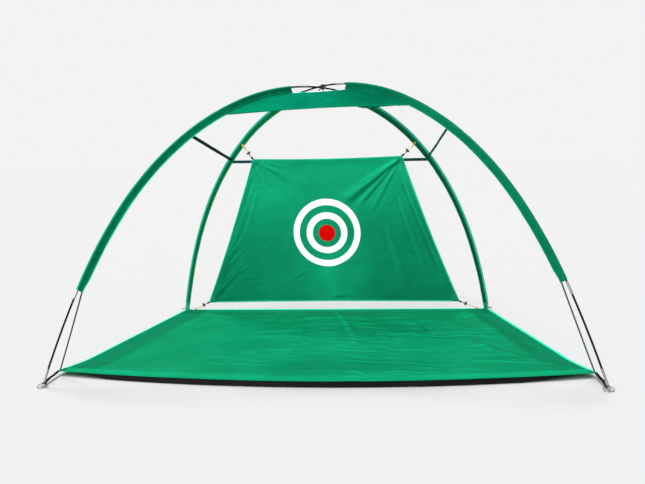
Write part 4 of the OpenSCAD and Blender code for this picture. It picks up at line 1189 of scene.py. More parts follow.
def target():
    nr, nc = 172, 262
    b = np.linspace(0, 1, nr)[:, None]
    a = np.linspace(0, 1, nc)[None]
    Y0 = -SLOPE / 2 + SLOPE * b
    hw = lerp(HB, HT, b)
    X = (2 * a - 1) * hw * np.ones_like(Y0)
    Y = Y0 * np.ones_like(a)
    # edges pull in between the corners
    Xc = X - (2 * a - 1) * 0.011 * np.sin(np.pi * b)
    Yc = Y - 0.010 * np.sin(np.pi * a) * b ** 2 + 0.008 * np.sin(np.pi * a) * (1 - b) ** 2
    h = target_fold(X, Y)
    ed = np.minimum(np.minimum(a, 1 - a) * 2 * hw, np.minimum(b, 1 - b) * SLOPE)
    pin = np.ones_like(h)
    for cx, cy in ((-HT, SLOPE / 2), (HT, SLOPE / 2), (HB, -SLOPE / 2), (-HB, -SLOPE / 2)):
        pin = pin * smooth((np.hypot(X - cx, Y - cy) - 0.006) / 0.05)
    h = h * (0.35 + 0.65 * smooth(ed / 0.05)) * pin
    h = h + 0.0012 * noise2((X + Y) / 0.022, (X - Y) / 0.06, 88) * np.exp(-ed / 0.012) * pin
    P = tp(Xc, Yc, h)
    g0, g1 = np.gradient(h, axis=1) / np.gradient(Xc, axis=1), np.gradient(h, axis=0) / np.gradient(Yc, axis=0)
    light = np.clip(0.55 * g1 * 1.0 - 0.35 * g0, -0.6, 0.6)
    # tone is painted light and shade: lighter towards the top and in patches up left, up right and low in the middle;
    # darker along a band inside the left edge, towards the bottom and on the lower sides; and lighter or darker by the
    # folds' slopes towards or away from the light
    tone = 1.0 + 0.16 * smooth((Y + 0.1) / 0.65) - 0.08 * smooth((X - 0.15) / 0.5) * smooth((0.45 - Y) / 0.5) - 0.07 * smooth((-Y - 0.25) / 0.3)
    tone = tone + 0.08 * np.exp(-(((X + 0.38) / 0.20) ** 2 + ((Y - 0.42) / 0.16) ** 2))
    tone = tone + 0.10 * np.exp(-(((X - 0.30) / 0.30) ** 2 + ((Y - 0.52) / 0.10) ** 2))
    left = hw - (-X)
    tone = tone - 0.13 * np.exp(-((left - 0.055) / 0.030) ** 2) * smooth((0.40 - Y) / 0.2)
    tone = tone - 0.10 * smooth((-0.42 - X) / 0.3) * smooth((0.05 - Y) / 0.35)
    tone = tone + 0.34 * np.exp(-(((X - 0.02) / 0.16) ** 2 + ((Y + 0.45) / 0.2) ** 2))
    tone = tone - 0.13 * smooth((X - 0.12) / 0.35) * smooth((0.30 - Y) / 0.25) - 0.08 * smooth((-0.12 - X) / 0.3) * smooth((0.30 - Y) / 0.25)
    tone = np.clip(tone - 0.22 * np.clip(g1 * 1.0 - g0 * 0.7, -0.7, 0.7), 0.55, 1.5)
    o = cloth_sheet("target_fabric", P, 0.0014, M_TARGET, np.stack([X, Y], -1), tone=tone, body="target",
                    nodes=["target_cloth"], slot="target_green")
    area = float(np.linalg.norm(np.cross(P[:-1, 1:] - P[:-1, :-1], P[1:, :-1] - P[:-1, :-1]), axis=-1).sum())
    n = grid_normals(P)
    n = n * np.sign((n @ T_FRONT).mean())
    for nm, path, un in (("bottom", P[0], n[0]), ("top", P[-1], n[-1]), ("left", P[:, 0], n[:, 0]), ("right", P[:, -1], n[:, -1])):
        sweep(f"target_hem_{nm}", path, un, flat_prof(0.0105, 0.0034, r=0.0014), M_HEM, body="target", slot="target_green")
    g = ("stitches_target", "target", False)
    for sgn in (1, -1):
        stitch(g, P[1, 2:-2], n[1, 2:-2] * sgn, lift=0.0011)
        stitch(g, P[-2, 2:-2], n[-2, 2:-2] * sgn, lift=0.0011)
        stitch(g, P[2:-2, 1], n[2:-2, 1] * sgn, lift=0.0011)
        stitch(g, P[2:-2, -2], n[2:-2, -2] * sgn, lift=0.0011)
    return o, area, P, n


target_obj, target_area, TARGET_P, TARGET_N = target()

# corner patches: a second triangle of cloth on the front of each corner
for q, (ci, cj, si, sj) in {"top_left": (-1, 0, -1, 1), "top_right": (-1, -1, -1, -1), "bottom_left": (0, 0, 1, 1), "bottom_right": (0, -1, 1, -1)}.items():
    nr, nc = TARGET_P.shape[:2]
    span_r, span_c = 12, 14 if q.startswith("top") else 8
    rows_, cols_ = [], []
    grid = []
    for r_ in range(span_r + 1):
        rr = (nr - 1 - r_) if ci == -1 else r_
        line = []
        cmax = span_c * (1 - r_ / span_r)
        for c_ in range(9):
            cc = cmax * c_ / 8
            k0 = int(math.floor(cc))
            fr = cc - k0
            i0 = (TARGET_P.shape[1] - 1 - k0) if cj == -1 else k0
            i1 = max(i0 - 1, 0) if cj == -1 else min(i0 + 1, nc - 1)
            p = TARGET_P[rr, i0] * (1 - fr) + TARGET_P[rr, i1] * fr
            nn = TARGET_N[rr, i0]
            line.append(p + nn * 0.0016)
        grid.append(line)
    G = np.array(grid)
    fl = np.stack([G[..., 0] + 5, G[..., 2] + 5], -1)
    cloth_sheet(f"corner_patch_{q}", G, 0.0010, M_TARGET, fl, body="target", slot="target_green")
    stitch(("stitches_target", "target", False), G[:-1, -1] * 0.97 + G[:-1, 0] * 0.03, TARGET_N[nr // 2, nc // 2], lift=0.0014)

# ------------------------------------------------------------------ straps, loops, tabs
def local_axes(p0, p1):
    """The CAD's frame along p0-p1: its x, y and z axes."""
    d = unit(np.asarray(p1) - np.asarray(p0))
    pol, az = math.acos(d[2]), math.atan2(d[1], d[0])
    x = np.array([math.cos(az) * math.cos(pol), math.sin(az) * math.cos(pol), -math.sin(pol)])
    y = np.array([-math.sin(az), math.cos(az), 0.0])
    return x, y, d


RING_R, WIRE_R = 0.026, 0.002


def hinge(front, s):
    hz = 0.014 if front else 0.010
    tilt = math.asin((hz - WIRE_R) / (2 * RING_R))
    if front:
        return np.array([s * FRONT_W / 2, -DEPTH / 2 + RING_R * math.cos(tilt), hz])
    k = RING_R / math.sqrt(2)
    return np.array([s * (REAR_W / 2 - k), DEPTH / 2 - k, hz])


def strap(front, s, nm):
    h = hinge(front, s)
    if front:
        c = np.array([s * FRONT_W / 2, FLOOR_FRONT_Y, float(lip(FLOOR_FRONT_Y)) + 0.0040])
        c[0] -= s * 0.004
        back = np.array([-s * 0.30, 1.0, 0.0])
    else:
        c = np.array([s * STRAP_REAR_X, FLOOR_REAR_Y, 0.0052])
        back = np.array([-s * 0.7071, -0.7071, 0.0])
    e1 = unit(h - c)
    e3 = unit(np.cross(e1, [0, 0, 1.0]))
    e2 = np.cross(e3, e1)
    back = unit(back)
    L = float(np.linalg.norm(h - c))
    rho = 0.0054
    pts, ups = [], []
    # sewn tail on the sheet
    sew = 0.052 if front else 0.045
    for q in np.linspace(sew, 0.004, 10):
        p = c + back * q
        z = float(lip(p[1])) + 0.0036 if front else 0.0048
        pts.append([p[0], p[1], max(z, 0.0048 if not front else z)])
        ups.append([0, 0, 1.0])
    for q in np.linspace(0.006, L - 0.004, 20 if front else 4):
        k = smooth(q / L)
        wav = 0.0012 * math.sin(q * 60) if front else 0.0
        pts.append(c + e1 * q + e2 * (rho * k + wav * (1 - k)))
        ups.append(e2)
    for a in np.linspace(90, -90, 15):
        r_ = math.radians(a)
        d_ = e1 * math.cos(r_) + e2 * math.sin(r_)
        pts.append(h + d_ * rho)
        ups.append(d_)
    ret = 0.048 if front else 0.016
    for q in np.linspace(0.004, ret, 10):
        k = smooth(q / 0.02)
        pts.append(h - e1 * q - e2 * lerp(rho, (-rho if front else -0.0026) * (1 - q / L) + 0.0022, k))
        ups.append(-e2)
    path = np.array([np.asarray(p, float) for p in pts])
    up = unit(np.array([np.asarray(u, float) for u in ups]))
    # side must not flip: use the strap's own width axis
    w, th = 0.0195, 0.0015
    prof = flat_prof(w, th, r=0.0006)
    n_, m_ = len(path), len(prof)
    P = path[:, None] + e3[None, None] * prof[None, :, 0:1] + up[:, None] * prof[None, :, 1:2]
    F = grid_faces(n_, m_, wrap=True, flip=True).tolist() + [list(range(m_)), [(n_ - 1) * m_ + i for i in range(m_ - 1, -1, -1)]]
    L_ = arc_len(path)
    fl = np.stack(np.broadcast_arrays(L_[:, None], prof[None, :, 0]), -1).reshape(-1, 2)
    o = make(f"strap_{nm}_webbing", P.reshape(-1, 3), F, M_WEB if front else M_GREEN_WEB, flat=fl, nodes=[f"strap_{nm}"], slot="webbing_dark")
    g = ("stitches_straps", "root", True)
    a, b_ = path[1], path[9]
    for sx in (-0.0078, 0.0078):
        stitch(g, np.array([a + e3 * sx, b_ + e3 * sx]), [0, 0, 1.0], lift=0.0010)
    stitch(g, np.array([a + e3 * 0.0078, b_ - e3 * 0.0078]), [0, 0, 1.0], lift=0.0010)
    stitch(g, np.array([a - e3 * 0.0078, b_ + e3 * 0.0078]), [0, 0, 1.0], lift=0.0010)
    if front:
        for q in (0.016, 0.040):
            p = h - e1 * q + e2 * (rho * 0.9 + 0.0008)
            stitch(g, np.array([p - e3 * 0.008, p + e3 * 0.008]), e2, lift=0.0006)
    return o


for front, s, nm in ((True, -1, "front_left"), (True, 1, "front_right"), (False, -1, "rear_left"), (False, 1, "rear_right")):
    strap(front, s, nm)

QUADS = ["top_left", "top_right", "bottom_left", "bottom_right"]
ANCHORS = np.array([[-608.694, 556.375, 1283.75], [608.694, 556.375, 1272.15], [-1105, 931, 12], [1105, 931, 12]]) * MM
CORNERS = np.array([[-547.5, 562, 1198], [527.5, 562, 1198], [-982.5, 905, 76], [962.5, 905, 76]]) * MM
EYE_OF, LOCK_AT = 0.040, 0.020
CDIR = unit(ANCHORS - CORNERS)
EYES = CORNERS + CDIR * EYE_OF
TABS = [seam_pt("rear_left", TOTAL - 1.480, SEAM)[0], seam_pt("rear_right", TOTAL - 1.480, SEAM)[0],
        np.array([-1.105, 0.951, 0.002]), np.array([1.105, 0.951, 0.002])]


def eyelet(c, ax, r=0.0050, w=0.0011, th=0.0013):
    """A rolled eyelet round c, its hole along ax."""
    x = unit(np.cross(ax, [0.3, 0.5, 0.8]))
    y = np.cross(ax, x)
    a = 2 * np.pi * np.arange(28) / 28
    path = c + r * (np.cos(a)[:, None] * x + np.sin(a)[:, None] * y)
    k = 2 * np.pi * np.arange(10) / 10
    prof = np.stack([th * np.sin(k), w * np.cos(k)], -1)
    up = unit(path - c)
    return tube_mesh(path, up, prof, closed=True)


def tab(name, eye, base, tail, tail_up, body, i, node, mat=None, slot="webbing_dark"):
    """A webbing tab from its sewn tail over base to the eyelet at eye."""
    ax, ay, az = local_axes(eye, base)   # hole along ax, width along ay
    w, th = 0.0132, 0.0018
    mat = mat or M_WEB
    d0, d1 = 0.0046, float(np.linalg.norm(base - eye))
    pts = [eye + az * q for q in np.linspace(d0, d1 - 0.002, 8)]
    if body == "target":
        near = -tail_up if np.dot(ax, -tail_up) > 0 else tail_up
        ups = [unit(lerp(ax, near, smooth((k - 0.5) / 2.5))) for k in range(8)]
    else:
        near = ax
        near = tail_up if np.dot(ax, tail_up) > 0 else -tail_up
        ups = [unit(lerp(ax, near, smooth((k - 0.5) / 5.0))) for k in range(8)]
    wid = [0.78, 0.90, 0.98, 1, 1, 1, 1, 1]
    if tail is not None:
        for q in np.linspace(0.004, float(np.linalg.norm(tail)), 7):
            k = smooth(q / 0.014)
            pts.append(base + unit(tail) * q + tail_up * 0.0026)
            sgn = 1.0 if np.dot(near, tail_up) > 0 else -1.0
            ups.append(tail_up * sgn)
            wid.append(1.0)
    path = np.array(pts)
    up = np.array(ups)
    t = unit(np.gradient(path, axis=0))
    prof = flat_prof(w, th, r=0.0007)
    side = unit(np.cross(t, up))
    u2 = np.cross(side, t)
    P = path[:, None] + side[:, None] * (prof[None, :, 0:1] * np.array(wid)[:, None, None]) + u2[:, None] * prof[None, :, 1:2]
    n_, m_ = len(path), len(prof)
    F = grid_faces(n_, m_, wrap=True).tolist() + [list(range(m_ - 1, -1, -1)), [(n_ - 1) * m_ + q for q in range(m_)]]
    L_ = arc_len(path)
    fl = np.stack(np.broadcast_arrays(L_[:, None], prof[None, :, 0]), -1).reshape(-1, 2)
    make(name, P.reshape(-1, 3), F, mat, body=body, flat=fl, nodes=node, slot=slot)
    V, F, fl = eyelet(eye, ax)
    make(name + "_eyelet", V, F, M_EYELET, body=body, flat=fl, slot="webbing_dark")
    if tail is not None:
        g = (f"stitches_tabs_{body}", body, True)
        side_t = unit(np.cross(unit(tail), tail_up))
        b0 = base + unit(tail) * 0.006 + tail_up * 0.0040
        b1 = base + tail * 0.92 + tail_up * 0.0040
        for sx in (-0.0042, 0.0042):
            stitch(g, np.array([b0 + side_t * sx, b1 + side_t * sx]), tail_up, lift=0.0)
        stitch(g, np.array([b1 - side_t * 0.0042, b1 + side_t * 0.0042]), tail_up, lift=0.0)
    return


IN_PLANE = [tp(0, 0) - tp(-HT, SLOPE / 2), tp(0, 0) - tp(HT, SLOPE / 2), tp(0, -0.2) - tp(-HB, -SLOPE / 2), tp(0, -0.2) - tp(HB, -SLOPE / 2)]
for i, q in enumerate(QUADS):
    tab(f"target_loop_{q}", EYES[i], CORNERS[i], unit(IN_PLANE[i]) * 0.030, -T_FRONT, "target", i, ["target_loops"] if i == 0 else [])
    if i < 2:
        arm = "rear_left" if i == 0 else "rear_right"
        s = TOTAL - 1.480
        C, O, A, T = pole_frame(ARMS[arm][0], [s])
        tail = O[0] * 0.016
        tab(f"shell_tab_{q}", ANCHORS[i], TABS[i], tail, A[0], "root", i, ["elastic_tabs"] if i == 0 else [], M_YELLOW_WEB, "elastic_yellow")
    else:
        tab(f"shell_tab_{q}", ANCHORS[i], TABS[i] + np.array([0, -0.004, 0.0010]), np.array([0, 0.006, 0.0]), np.array([0, 0, 1.0]), "root", i, [], M_YELLOW_WEB, "elastic_yellow")


# ------------------------------------------------------------------ elastics, knots, springs
def tube_path(name, path, r, mat, k=14, taper=None, **kw):
    path = np.asarray(path, float)
    t = unit(np.gradient(path, axis=0))
    ref = np.array([0.0, 0.0, 1.0]) if abs(t[0][2]) < 0.9 else np.array([1.0, 0.0, 0.0])
    ups = [unit(np.cross(np.cross(t[0], ref), t[0]))]
    for a in t[1:]:
        ups.append(unit(ups[-1] - a * np.dot(ups[-1], a)))
    prof = round_prof(r, k)
    if taper is not None:
        prof = prof[None] * np.asarray(taper)[:, None, None]
    return sweep(name, path, np.array(ups), prof, mat, **kw)


def knot_mesh(c, z, x, y, r_loop, r_cord, turns=2.6):
    """A loop through the eyelet and three wraps round the cord; c is the eye, z points along the cord."""
    parts = []
    a = np.linspace(0, 2 * np.pi, 33)[:-1]
    loop = c + z * r_loop + r_loop * (np.cos(a)[:, None] * z + np.sin(a)[:, None] * x)
    up = unit(loop - (c + z * r_loop))
    parts.append(tube_mesh(loop, up, round_prof(r_cord, 10), closed=True))
    b = np.linspace(0, 2 * np.pi * turns, 60)
    rr = 0.0030
    wrap = c + z * (2 * r_loop + 0.0008) + z * (b / (2 * np.pi) * 0.0021)[:, None] + rr * (np.cos(b)[:, None] * x + np.sin(b)[:, None] * y)
    up = unit(wrap - (c + z * (2 * r_loop + 0.0008) + z * (b / (2 * np.pi) * 0.0021)[:, None]))
    parts.append(tube_mesh(wrap, up, round_prof(0.00105, 8)))
    return join(parts)


for i, q in enumerate(QUADS):
    e, a = EYES[i], ANCHORS[i]
    z = CDIR[i]
    lx, ly, _ = local_axes(e, a)
    L = float(np.linalg.norm(a - e))
    kr = 0.0048
    p0, p1 = e + z * (2 * kr - 0.0004), a - z * (2 * kr - 0.0004)
    n = max(16, int(np.linalg.norm(p1 - p0) / 0.0025))
    path = p0 + (p1 - p0) * np.linspace(0, 1, n)[:, None]
    V, F, fl = knot_mesh(e, z, lx, ly, kr, 0.0015)
    k0 = make(f"elastic_knot_{q}", V, F, M_WEB, body="target", flat=fl, slot="webbing_dark")
    V, F, fl = knot_mesh(a, -z, lx, ly, kr, 0.0015, 0.7 if q == "top_right" else 2.6)
    cuff = e + z * np.linspace(0.0064, 0.0124, 9)[:, None]
    tube_path(f"elastic_cuff_{q}", cuff, 0.0046, M_WEB, k=16, taper=[.80, .96, 1, 1, .98, 1, 1, .96, .84], body="target", slot="webbing_dark")
    k1 = make(f"elastic_end_{q}", V, F, M_YELLOW, body="root", flat=fl, slot="elastic_yellow")
    o = tube_path(f"elastic_{q}_cord", path, 0.0023, M_YELLOW, k=16, body=None, nodes=[f"elastic_{q}"], slot="elastic_yellow")
    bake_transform(o)
    # spring under the lock's button
    c = e + z * LOCK_AT
    bx, by = None, None
    R = np.stack([lx, ly, z], 1)          # the CAD's frame along the elastic
    # barrel axis: local z turned by -90 degrees about y is -x
    ax_b = -lx
    if i == 0:
        pass
    th = np.linspace(0, 2 * np.pi * 4.2, 170)
    k = th / th[-1]
    rise = np.where(k < 0.14, k / 0.14 * 0.0010, np.where(k > 0.86, 0.0058 - (1 - k) / 0.14 * 0.0010, 0.0010 + (k - 0.14) / 0.72 * 0.0038))
    y_b = z
    x_b = np.cross(y_b, ax_b)
    hel = c + ax_b * (-0.0107 + rise)[:, None] + 0.0036 * (np.cos(th)[:, None] * x_b + np.sin(th)[:, None] * y_b)
    up = unit(hel - (c + ax_b * (-0.0107 + rise)[:, None]))
    V, F, fl = tube_mesh(hel, up, round_prof(0.00042, 8))
    sp = make(f"spring_{q}_coil", V, F, M_SPRING, body=None, flat=fl, nodes=[f"spring_{q}"], slot="spring_steel")
    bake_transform(sp)

# ------------------------------------------------------------------ nets
NET_FRONT, NET_REAR_S = 1.640, 1.310
REAR_END = TOTAL - 0.030


def front_edge(arm, t):
    s = 1 if arm == "front_right" else -1
    foot = np.array([s * (side_x(FLOOR_FRONT_Y + 0.016) - 0.002), FLOOR_FRONT_Y + 0.016, float(lip(FLOOR_FRONT_Y + 0.016)) + 0.0016])
    low0 = ARMS[arm][1] + 0.004
    low = seam_pt(arm, low0, float(flange_depth(arm, low0)) - 0.002)[0]
    out = []
    for v in np.atleast_1d(t):
        if v < 0.3:
            out.append(lerp(foot, low, v / 0.3))
        else:
            s_ = lerp(low0, NET_FRONT, (v - 0.3) / 0.7)
            out.append(seam_pt(arm, s_, float(flange_depth(arm, s_)) - 0.002)[0])
    return np.array(out)


def rear_edge(arm, t):
    s = 1 if arm == "rear_right" else -1
    foot = np.array([s * (FLOOR_REAR_X - 0.003), FLOOR_REAR_Y - 0.006, 0.0016])
    low = seam_pt(arm, REAR_END - 0.004)[0]
    out = []
    for v in np.atleast_1d(t):
        if v < 0.06:
            out.append(lerp(foot, low, v / 0.06))
        else:
            s_ = lerp(REAR_END - 0.004, TOTAL - NET_REAR_S, (v - 0.06) / 0.94)
            out.append(seam_pt(arm, s_, SEAM - 0.0)[0])
    return np.array(out)


def net_panel(name, node, A, B, axis, seed, mesh=0.0360, r=0.00022, floor_row=False):
    """Diamond netting on the ruled surface between the edges A and B, knotless and a little slack."""
    nr, nc = A.shape[0], 60
    f = np.linspace(0, 1, nc)
    G = A[:, None] + (B - A)[:, None] * f[None, :, None]
    if floor_row:
        G[0, :, 2] = lip(G[0, :, 1]) + 0.0016
    tt = np.linspace(0, 1, nr)[:, None]
    sag = 0.014 * np.sin(np.pi * tt) * np.sin(np.pi * f)[None] + 0.006 * fbm(f[None] * 5, tt * 4, seed) * np.sin(np.pi * tt) * np.sin(np.pi * f)[None]
    n = grid_normals(G)
    inward = np.array([0, 0, 0.5]) - G
    n = n * np.sign((n * inward).sum(-1, keepdims=True))
    G = G + n * sag[..., None]
    verts = [Vector(p) for p in G.reshape(-1, 3)]
    faces = grid_faces(nr, nc).tolist()
    bvh = BVHTree.FromPolygons(verts, faces)
    ax = 0 if axis == "x" else 1
    oth = 1 if axis == "x" else 0
    lo_, hi_ = G.reshape(-1, 3).min(0), G.reshape(-1, 3).max(0)
    start = hi_[ax] + 0.3
    dirv = Vector((-1, 0, 0)) if ax == 0 else Vector((0, -1, 0))

    def cast(h, z):
        o = [0, 0, 0]
        o[ax], o[oth], o[2] = start, h, z
        hit = bvh.ray_cast(Vector(o), dirv)
        return None if hit[0] is None else (np.array(hit[0]), np.array(hit[1]))

    parts, flats, faces_out, off = [], [], [], 0
    stepd = mesh * 0.70711 * 2     # distance between lines of a family along the horizontal
    tri = np.array([0, 2 * np.pi / 3, 4 * np.pi / 3])
    for fam, sl in ((0, 1.0), (1, -1.0)):
        H = hi_[2] - lo_[2]
        h0 = lo_[oth] - H
        h1 = hi_[oth] + H
        k = 0
        hstart = h0
        while hstart < h1:
            ds = 0.0122
            m = int((H * 1.4143) / ds)
            run, prev_ok = [], False
            for j in range(m + 1):
                z = lo_[2] - 0.002 + j * ds * 0.70711
                h = hstart + sl * (j * ds * 0.70711) if sl > 0 else hstart + H - (j * ds * 0.70711)
                hit = cast(h, z)
                if hit is not None:
                    if not run and j > 0:
                        a_, b_ = 0.0, 1.0    # find where the line enters
                        for _ in range(5):
                            mm = (a_ + b_) / 2
                            hp = cast(h - sl * ds * 0.70711 * mm, z - ds * 0.70711 * mm)
                            if hp is None:
                                b_ = mm
                            else:
                                a_ = mm
                        hp = cast(h - sl * ds * 0.70711 * a_, z - ds * 0.70711 * a_)
                        if hp is not None and a_ > 0.05:
                            run.append(hp)
                    run.append(hit)
                if (hit is None or j == m) and run:
                    if hit is None:
                        a_, b_ = 0.0, 1.0
                        for _ in range(5):
                            mm = (a_ + b_) / 2
                            hp = cast(h - sl * ds * 0.70711 * (1 - mm), z - ds * 0.70711 * (1 - mm))
                            if hp is None:
                                b_ = mm
                            else:
                                a_ = mm
                        hp = cast(h - sl * ds * 0.70711 * (1 - a_), z - ds * 0.70711 * (1 - a_))
                        if hp is not None and a_ > 0.05:
                            run.append(hp)
                    if len(run) > 1:
                        pts = np.array([p for p, _ in run])
                        nn = np.array([v for _, v in run])
                        L = arc_len(pts)
                        if L[-1] > 0.004:
                            t = unit(np.gradient(pts, axis=0))
                            side = unit(np.cross(t, nn))
                            ph = hstart * 37.0
                            wob = (0.0006 * np.sin(L * 2 * np.pi / mesh * 0.5 + ph) * smooth(L / 0.01) * smooth((L[-1] - L) / 0.01))[:, None]
                            c = pts + side * wob + nn * (0.00042 * (1 if fam else -1))
                            P = c[:, None] + r * (np.cos(tri)[None, :, None] * nn[:, None] + np.sin(tri)[None, :, None] * side[:, None])
                            kk = len(pts)
                            parts.append(P.reshape(-1, 3))
                            faces_out.append(grid_faces(kk, 3, wrap=True) + off)
                            flats.append(np.stack(np.broadcast_arrays(L[:, None], np.array([0, .001, .002])[None]), -1).reshape(-1, 2))
                            off += 3 * kk
                    run = []
            hstart += stepd
            k += 1
    return make(name, np.concatenate(parts), np.concatenate(faces_out), M_NET, flat=np.concatenate(flats), nodes=[node], slot="netting_pale")


def net_rows(count, knee):
    return np.unique(np.concatenate([np.linspace(0, knee, 8), np.linspace(knee, 1, count)]))


def rear_side_edge(arm, t):
    """Where a side net meets the outer side of a rear sleeve."""
    s = 1 if arm == "rear_right" else -1
    foot = np.array([s * (FLOOR_REAR_X - 0.001), FLOOR_REAR_Y - 0.006, 0.0016])
    out = []
    for v in np.atleast_1d(t):
        s_ = lerp(REAR_END - 0.004, TOTAL - NET_REAR_S, max(v - 0.06, 0.0) / 0.94)
        C, O, A, T = pole_frame(ARMS[arm][0], [s_])
        face = A[0] * (-1.0 if A[0][1] > 0 else 1.0)
        p = C[0] + O[0] * 0.0078 + face * 0.0052
        out.append(lerp(foot, p, v / 0.06) if v < 0.06 else p)
    return np.array(out)


TN = net_rows(52, 0.3)
FL_, RL_ = front_edge("front_left", TN), rear_edge("rear_left", TN)
FR_, RR_ = front_edge("front_right", TN), rear_edge("rear_right", TN)
out_l = np.array([-0.0012, 0, 0])
net_panel("net_left_mesh", "net_left", FL_ + out_l, rear_side_edge("rear_left", TN), "x", 91, floor_row=True)
net_panel("net_right_mesh", "net_right", FR_ - out_l, rear_side_edge("rear_right", TN), "x", 92, floor_row=True)
TR_ = net_rows(52, 0.06)
RLb, RRb = rear_edge("rear_left", TR_), rear_edge("rear_right", TR_)
back = np.array([0, 0.0035, 0])
net_panel("net_rear_mesh", "net_rear", RLb + back, RRb + back, "y", 93)


# ------------------------------------------------------------------ bindings on the nets' edges
def tape_piece(name, node, p0, p1, out, h=0.0190, seed=0):
    L = float(np.linalg.norm(p1 - p0))
    n = int(L / 0.010) + 1
    t = np.linspace(0, 1, n)
    path = p0 + (p1 - p0) * t[:, None]
    sl = np.sin(np.pi * t)
    zz = h / 2 - 0.0015 * sl + 0.0010 * noise2(t * L / 0.08, 0, seed) * sl
    path = path + np.array([0, 0, 1.0]) * zz[:, None] + out * (0.0012 + 0.0012 * noise2(t * L / 0.12, 4, seed + 1) * sl)[:, None]
    along = unit(p1 - p0)
    up = unit(out - along * np.dot(out, along))
    tw = 0.14 * noise2(t * L / 0.16, 7, seed + 2) * sl
    side = unit(np.cross(along, up))
    upv = up[None] * np.cos(tw)[:, None] + side[None] * np.sin(tw)[:, None]
    sweep(name, path, upv, flat_prof(h, 0.0026, r=0.0011), M_TEAL, nodes=[node], slot="binding_teal")
    for so in (-h / 2 + 0.0024, h / 2 - 0.0024):
        for sg in (1, -1):
            stitch(("stitches_tapes", "root", True), path, upv * sg, side_off=so, lift=0.0013, pitch=0.0060, length=0.0042, r=0.0004)
    return path


def outn(p0, p1, sgn):
    d = unit(p1 - p0)
    return unit(np.cross(d, [0, 0, 1.0])) * sgn


p0, p1 = FL_[-1], RL_[-1]
tape_piece("tape_left_binding", "tape_left", p0, p1, np.array([-1.0, 0, 0]), h=0.0235, seed=101)
p0, p1 = FR_[-1], RR_[-1]
tape_piece("tape_right_binding", "tape_right", p0, p1, np.array([1.0, 0, 0]), h=0.0235, seed=104)
p0, p1 = lerp(RLb[-1], RLb[-2], 0.6) + back * 0.6, lerp(RRb[-1], RRb[-2], 0.6) + back * 0.6
tape_piece("tape_rear_binding", "tape_rear", p0, p1, np.array([0, 1.0, 0]), h=0.0215, seed=107)

for arm, s, nm in (("front_left", -1, "left"), ("front_right", 1, "right")):
    s_end = ARMS[arm][1]
    top = seam_pt(arm, s_end - 0.0015, float(flange_depth(arm, s_end)) - 0.004)[0]
    C, O, A, T = pole_frame(ARMS[arm][0], [s_end - 0.0015])
    top = top - T[0] * 0.0075
    bot = np.array([s * (FRONT_W / 2 - 0.004), FLOOR_FRONT_Y + 0.009, float(lip(FLOOR_FRONT_Y + 0.009)) + 0.0050])
    n = 60
    t = np.linspace(0, 1, n)
    path = bot + (top - bot) * t[:, None] + np.array([0, 0.004, 0]) * np.sin(np.pi * t)[:, None]
    o = tube_path(f"edge_cord_{nm}_cord", path, 0.0043, braid_mat(f"edge_braid_{nm}", (0.0034, 0.040, 0.042), (0.008, 0.062, 0.064), 0.0076), k=14,
                  nodes=[f"edge_cord_{nm}"], slot="binding_teal")

# ------------------------------------------------------------------ tie at the crossing
zc = CROSS_Z + LIFT_B / 2
cc = np.array([0.0, CROSS_Y, zc])


def tie(name, plane, tail_dir, tail_len, start_deg, sense, nodes, bend):
    """One turn round the crossing in an upright plane, then a free tail with a knot at its end."""
    px = unit(np.array(plane))
    r0 = 0.0156
    a = np.radians(np.linspace(start_deg, start_deg + sense * 400, 44))
    drift = np.linspace(-0.0023, 0.0023, len(a))
    across = np.cross(px, [0, 0, 1.0])
    loop = cc + r0 * (np.cos(a)[:, None] * px + np.sin(a)[:, None] * np.array([0, 0, 1.0])) + across * drift[:, None] * 1.6
    endp = loop[-1]
    tn = unit(loop[-1] - loop[-2])
    td = unit(np.array(tail_dir))
    ctrl = [loop[-1], endp + tn * 0.006 + td * 0.003]
    for k in (0.35, 0.7, 1.0):
        ctrl.append(endp + tn * 0.007 + td * tail_len * k + np.array(bend) * k * k)
    tail = catmull(ctrl, 6)
    path = resample(np.concatenate([loop, tail[1:]]), 0.0030)
    tp_ = np.ones(len(path))
    o = tube_path(name, path, 0.0027, M_TIE, k=12, taper=tp_, nodes=nodes, slot="webbing_dark")
    # a small stopper knot just before the tail's end
    kx = path[-3]
    tt = unit(path[-1] - path[-4])
    x = unit(np.cross(tt, [0.2, 0.9, 0.1]))
    y = np.cross(tt, x)
    b = np.linspace(0, 2 * np.pi * 1.6, 34)
    kp = kx + 0.0032 * (np.cos(b)[:, None] * x + np.sin(b)[:, None] * y) + tt * (b / b[-1] * 0.0050 - 0.004)[:, None]
    V, F, fl = tube_mesh(kp, unit(kp - kx - tt * (b / b[-1] * 0.0050 - 0.004)[:, None]), round_prof(0.0020, 8))
    kn = make(name + "_knot", V, F, M_TIE, flat=fl, slot="webbing_dark")


tie("crossing_tie_upper", (1, 0, 0), (0.62, -0.20, 0.76), 0.040, 205, 1, ["crossing_tie"], (0.006, 0, -0.001))
tie("crossing_tie_third", (0.72, 0.69, 0), (-0.70, -0.20, -0.62), 0.020, 150, 1, [], (-0.004, 0, 0.0))
tie("crossing_tie_lower", (0, 1, 0), (-0.10, -0.25, -0.95), 0.032, 20, -1, [], (-0.002, -0.004, 0.0))

# ------------------------------------------------------------------ shock cords inside the poles
for pole in ("a", "b"):
    S = np.linspace(0.084, TOTAL - 0.084, 720)
    C, O, A, T = pole_frame(pole, S)
    path = C + O * (0.0012 * noise2(S / 0.21, 0, 120))[:, None]
    o = tube_path(f"pole_{pole}_cord", path, 0.0013, M_SHOCK, k=8, nodes=[f"pole_{pole}_shock_cord"], slot="shock_cord_white")

sew_groups()

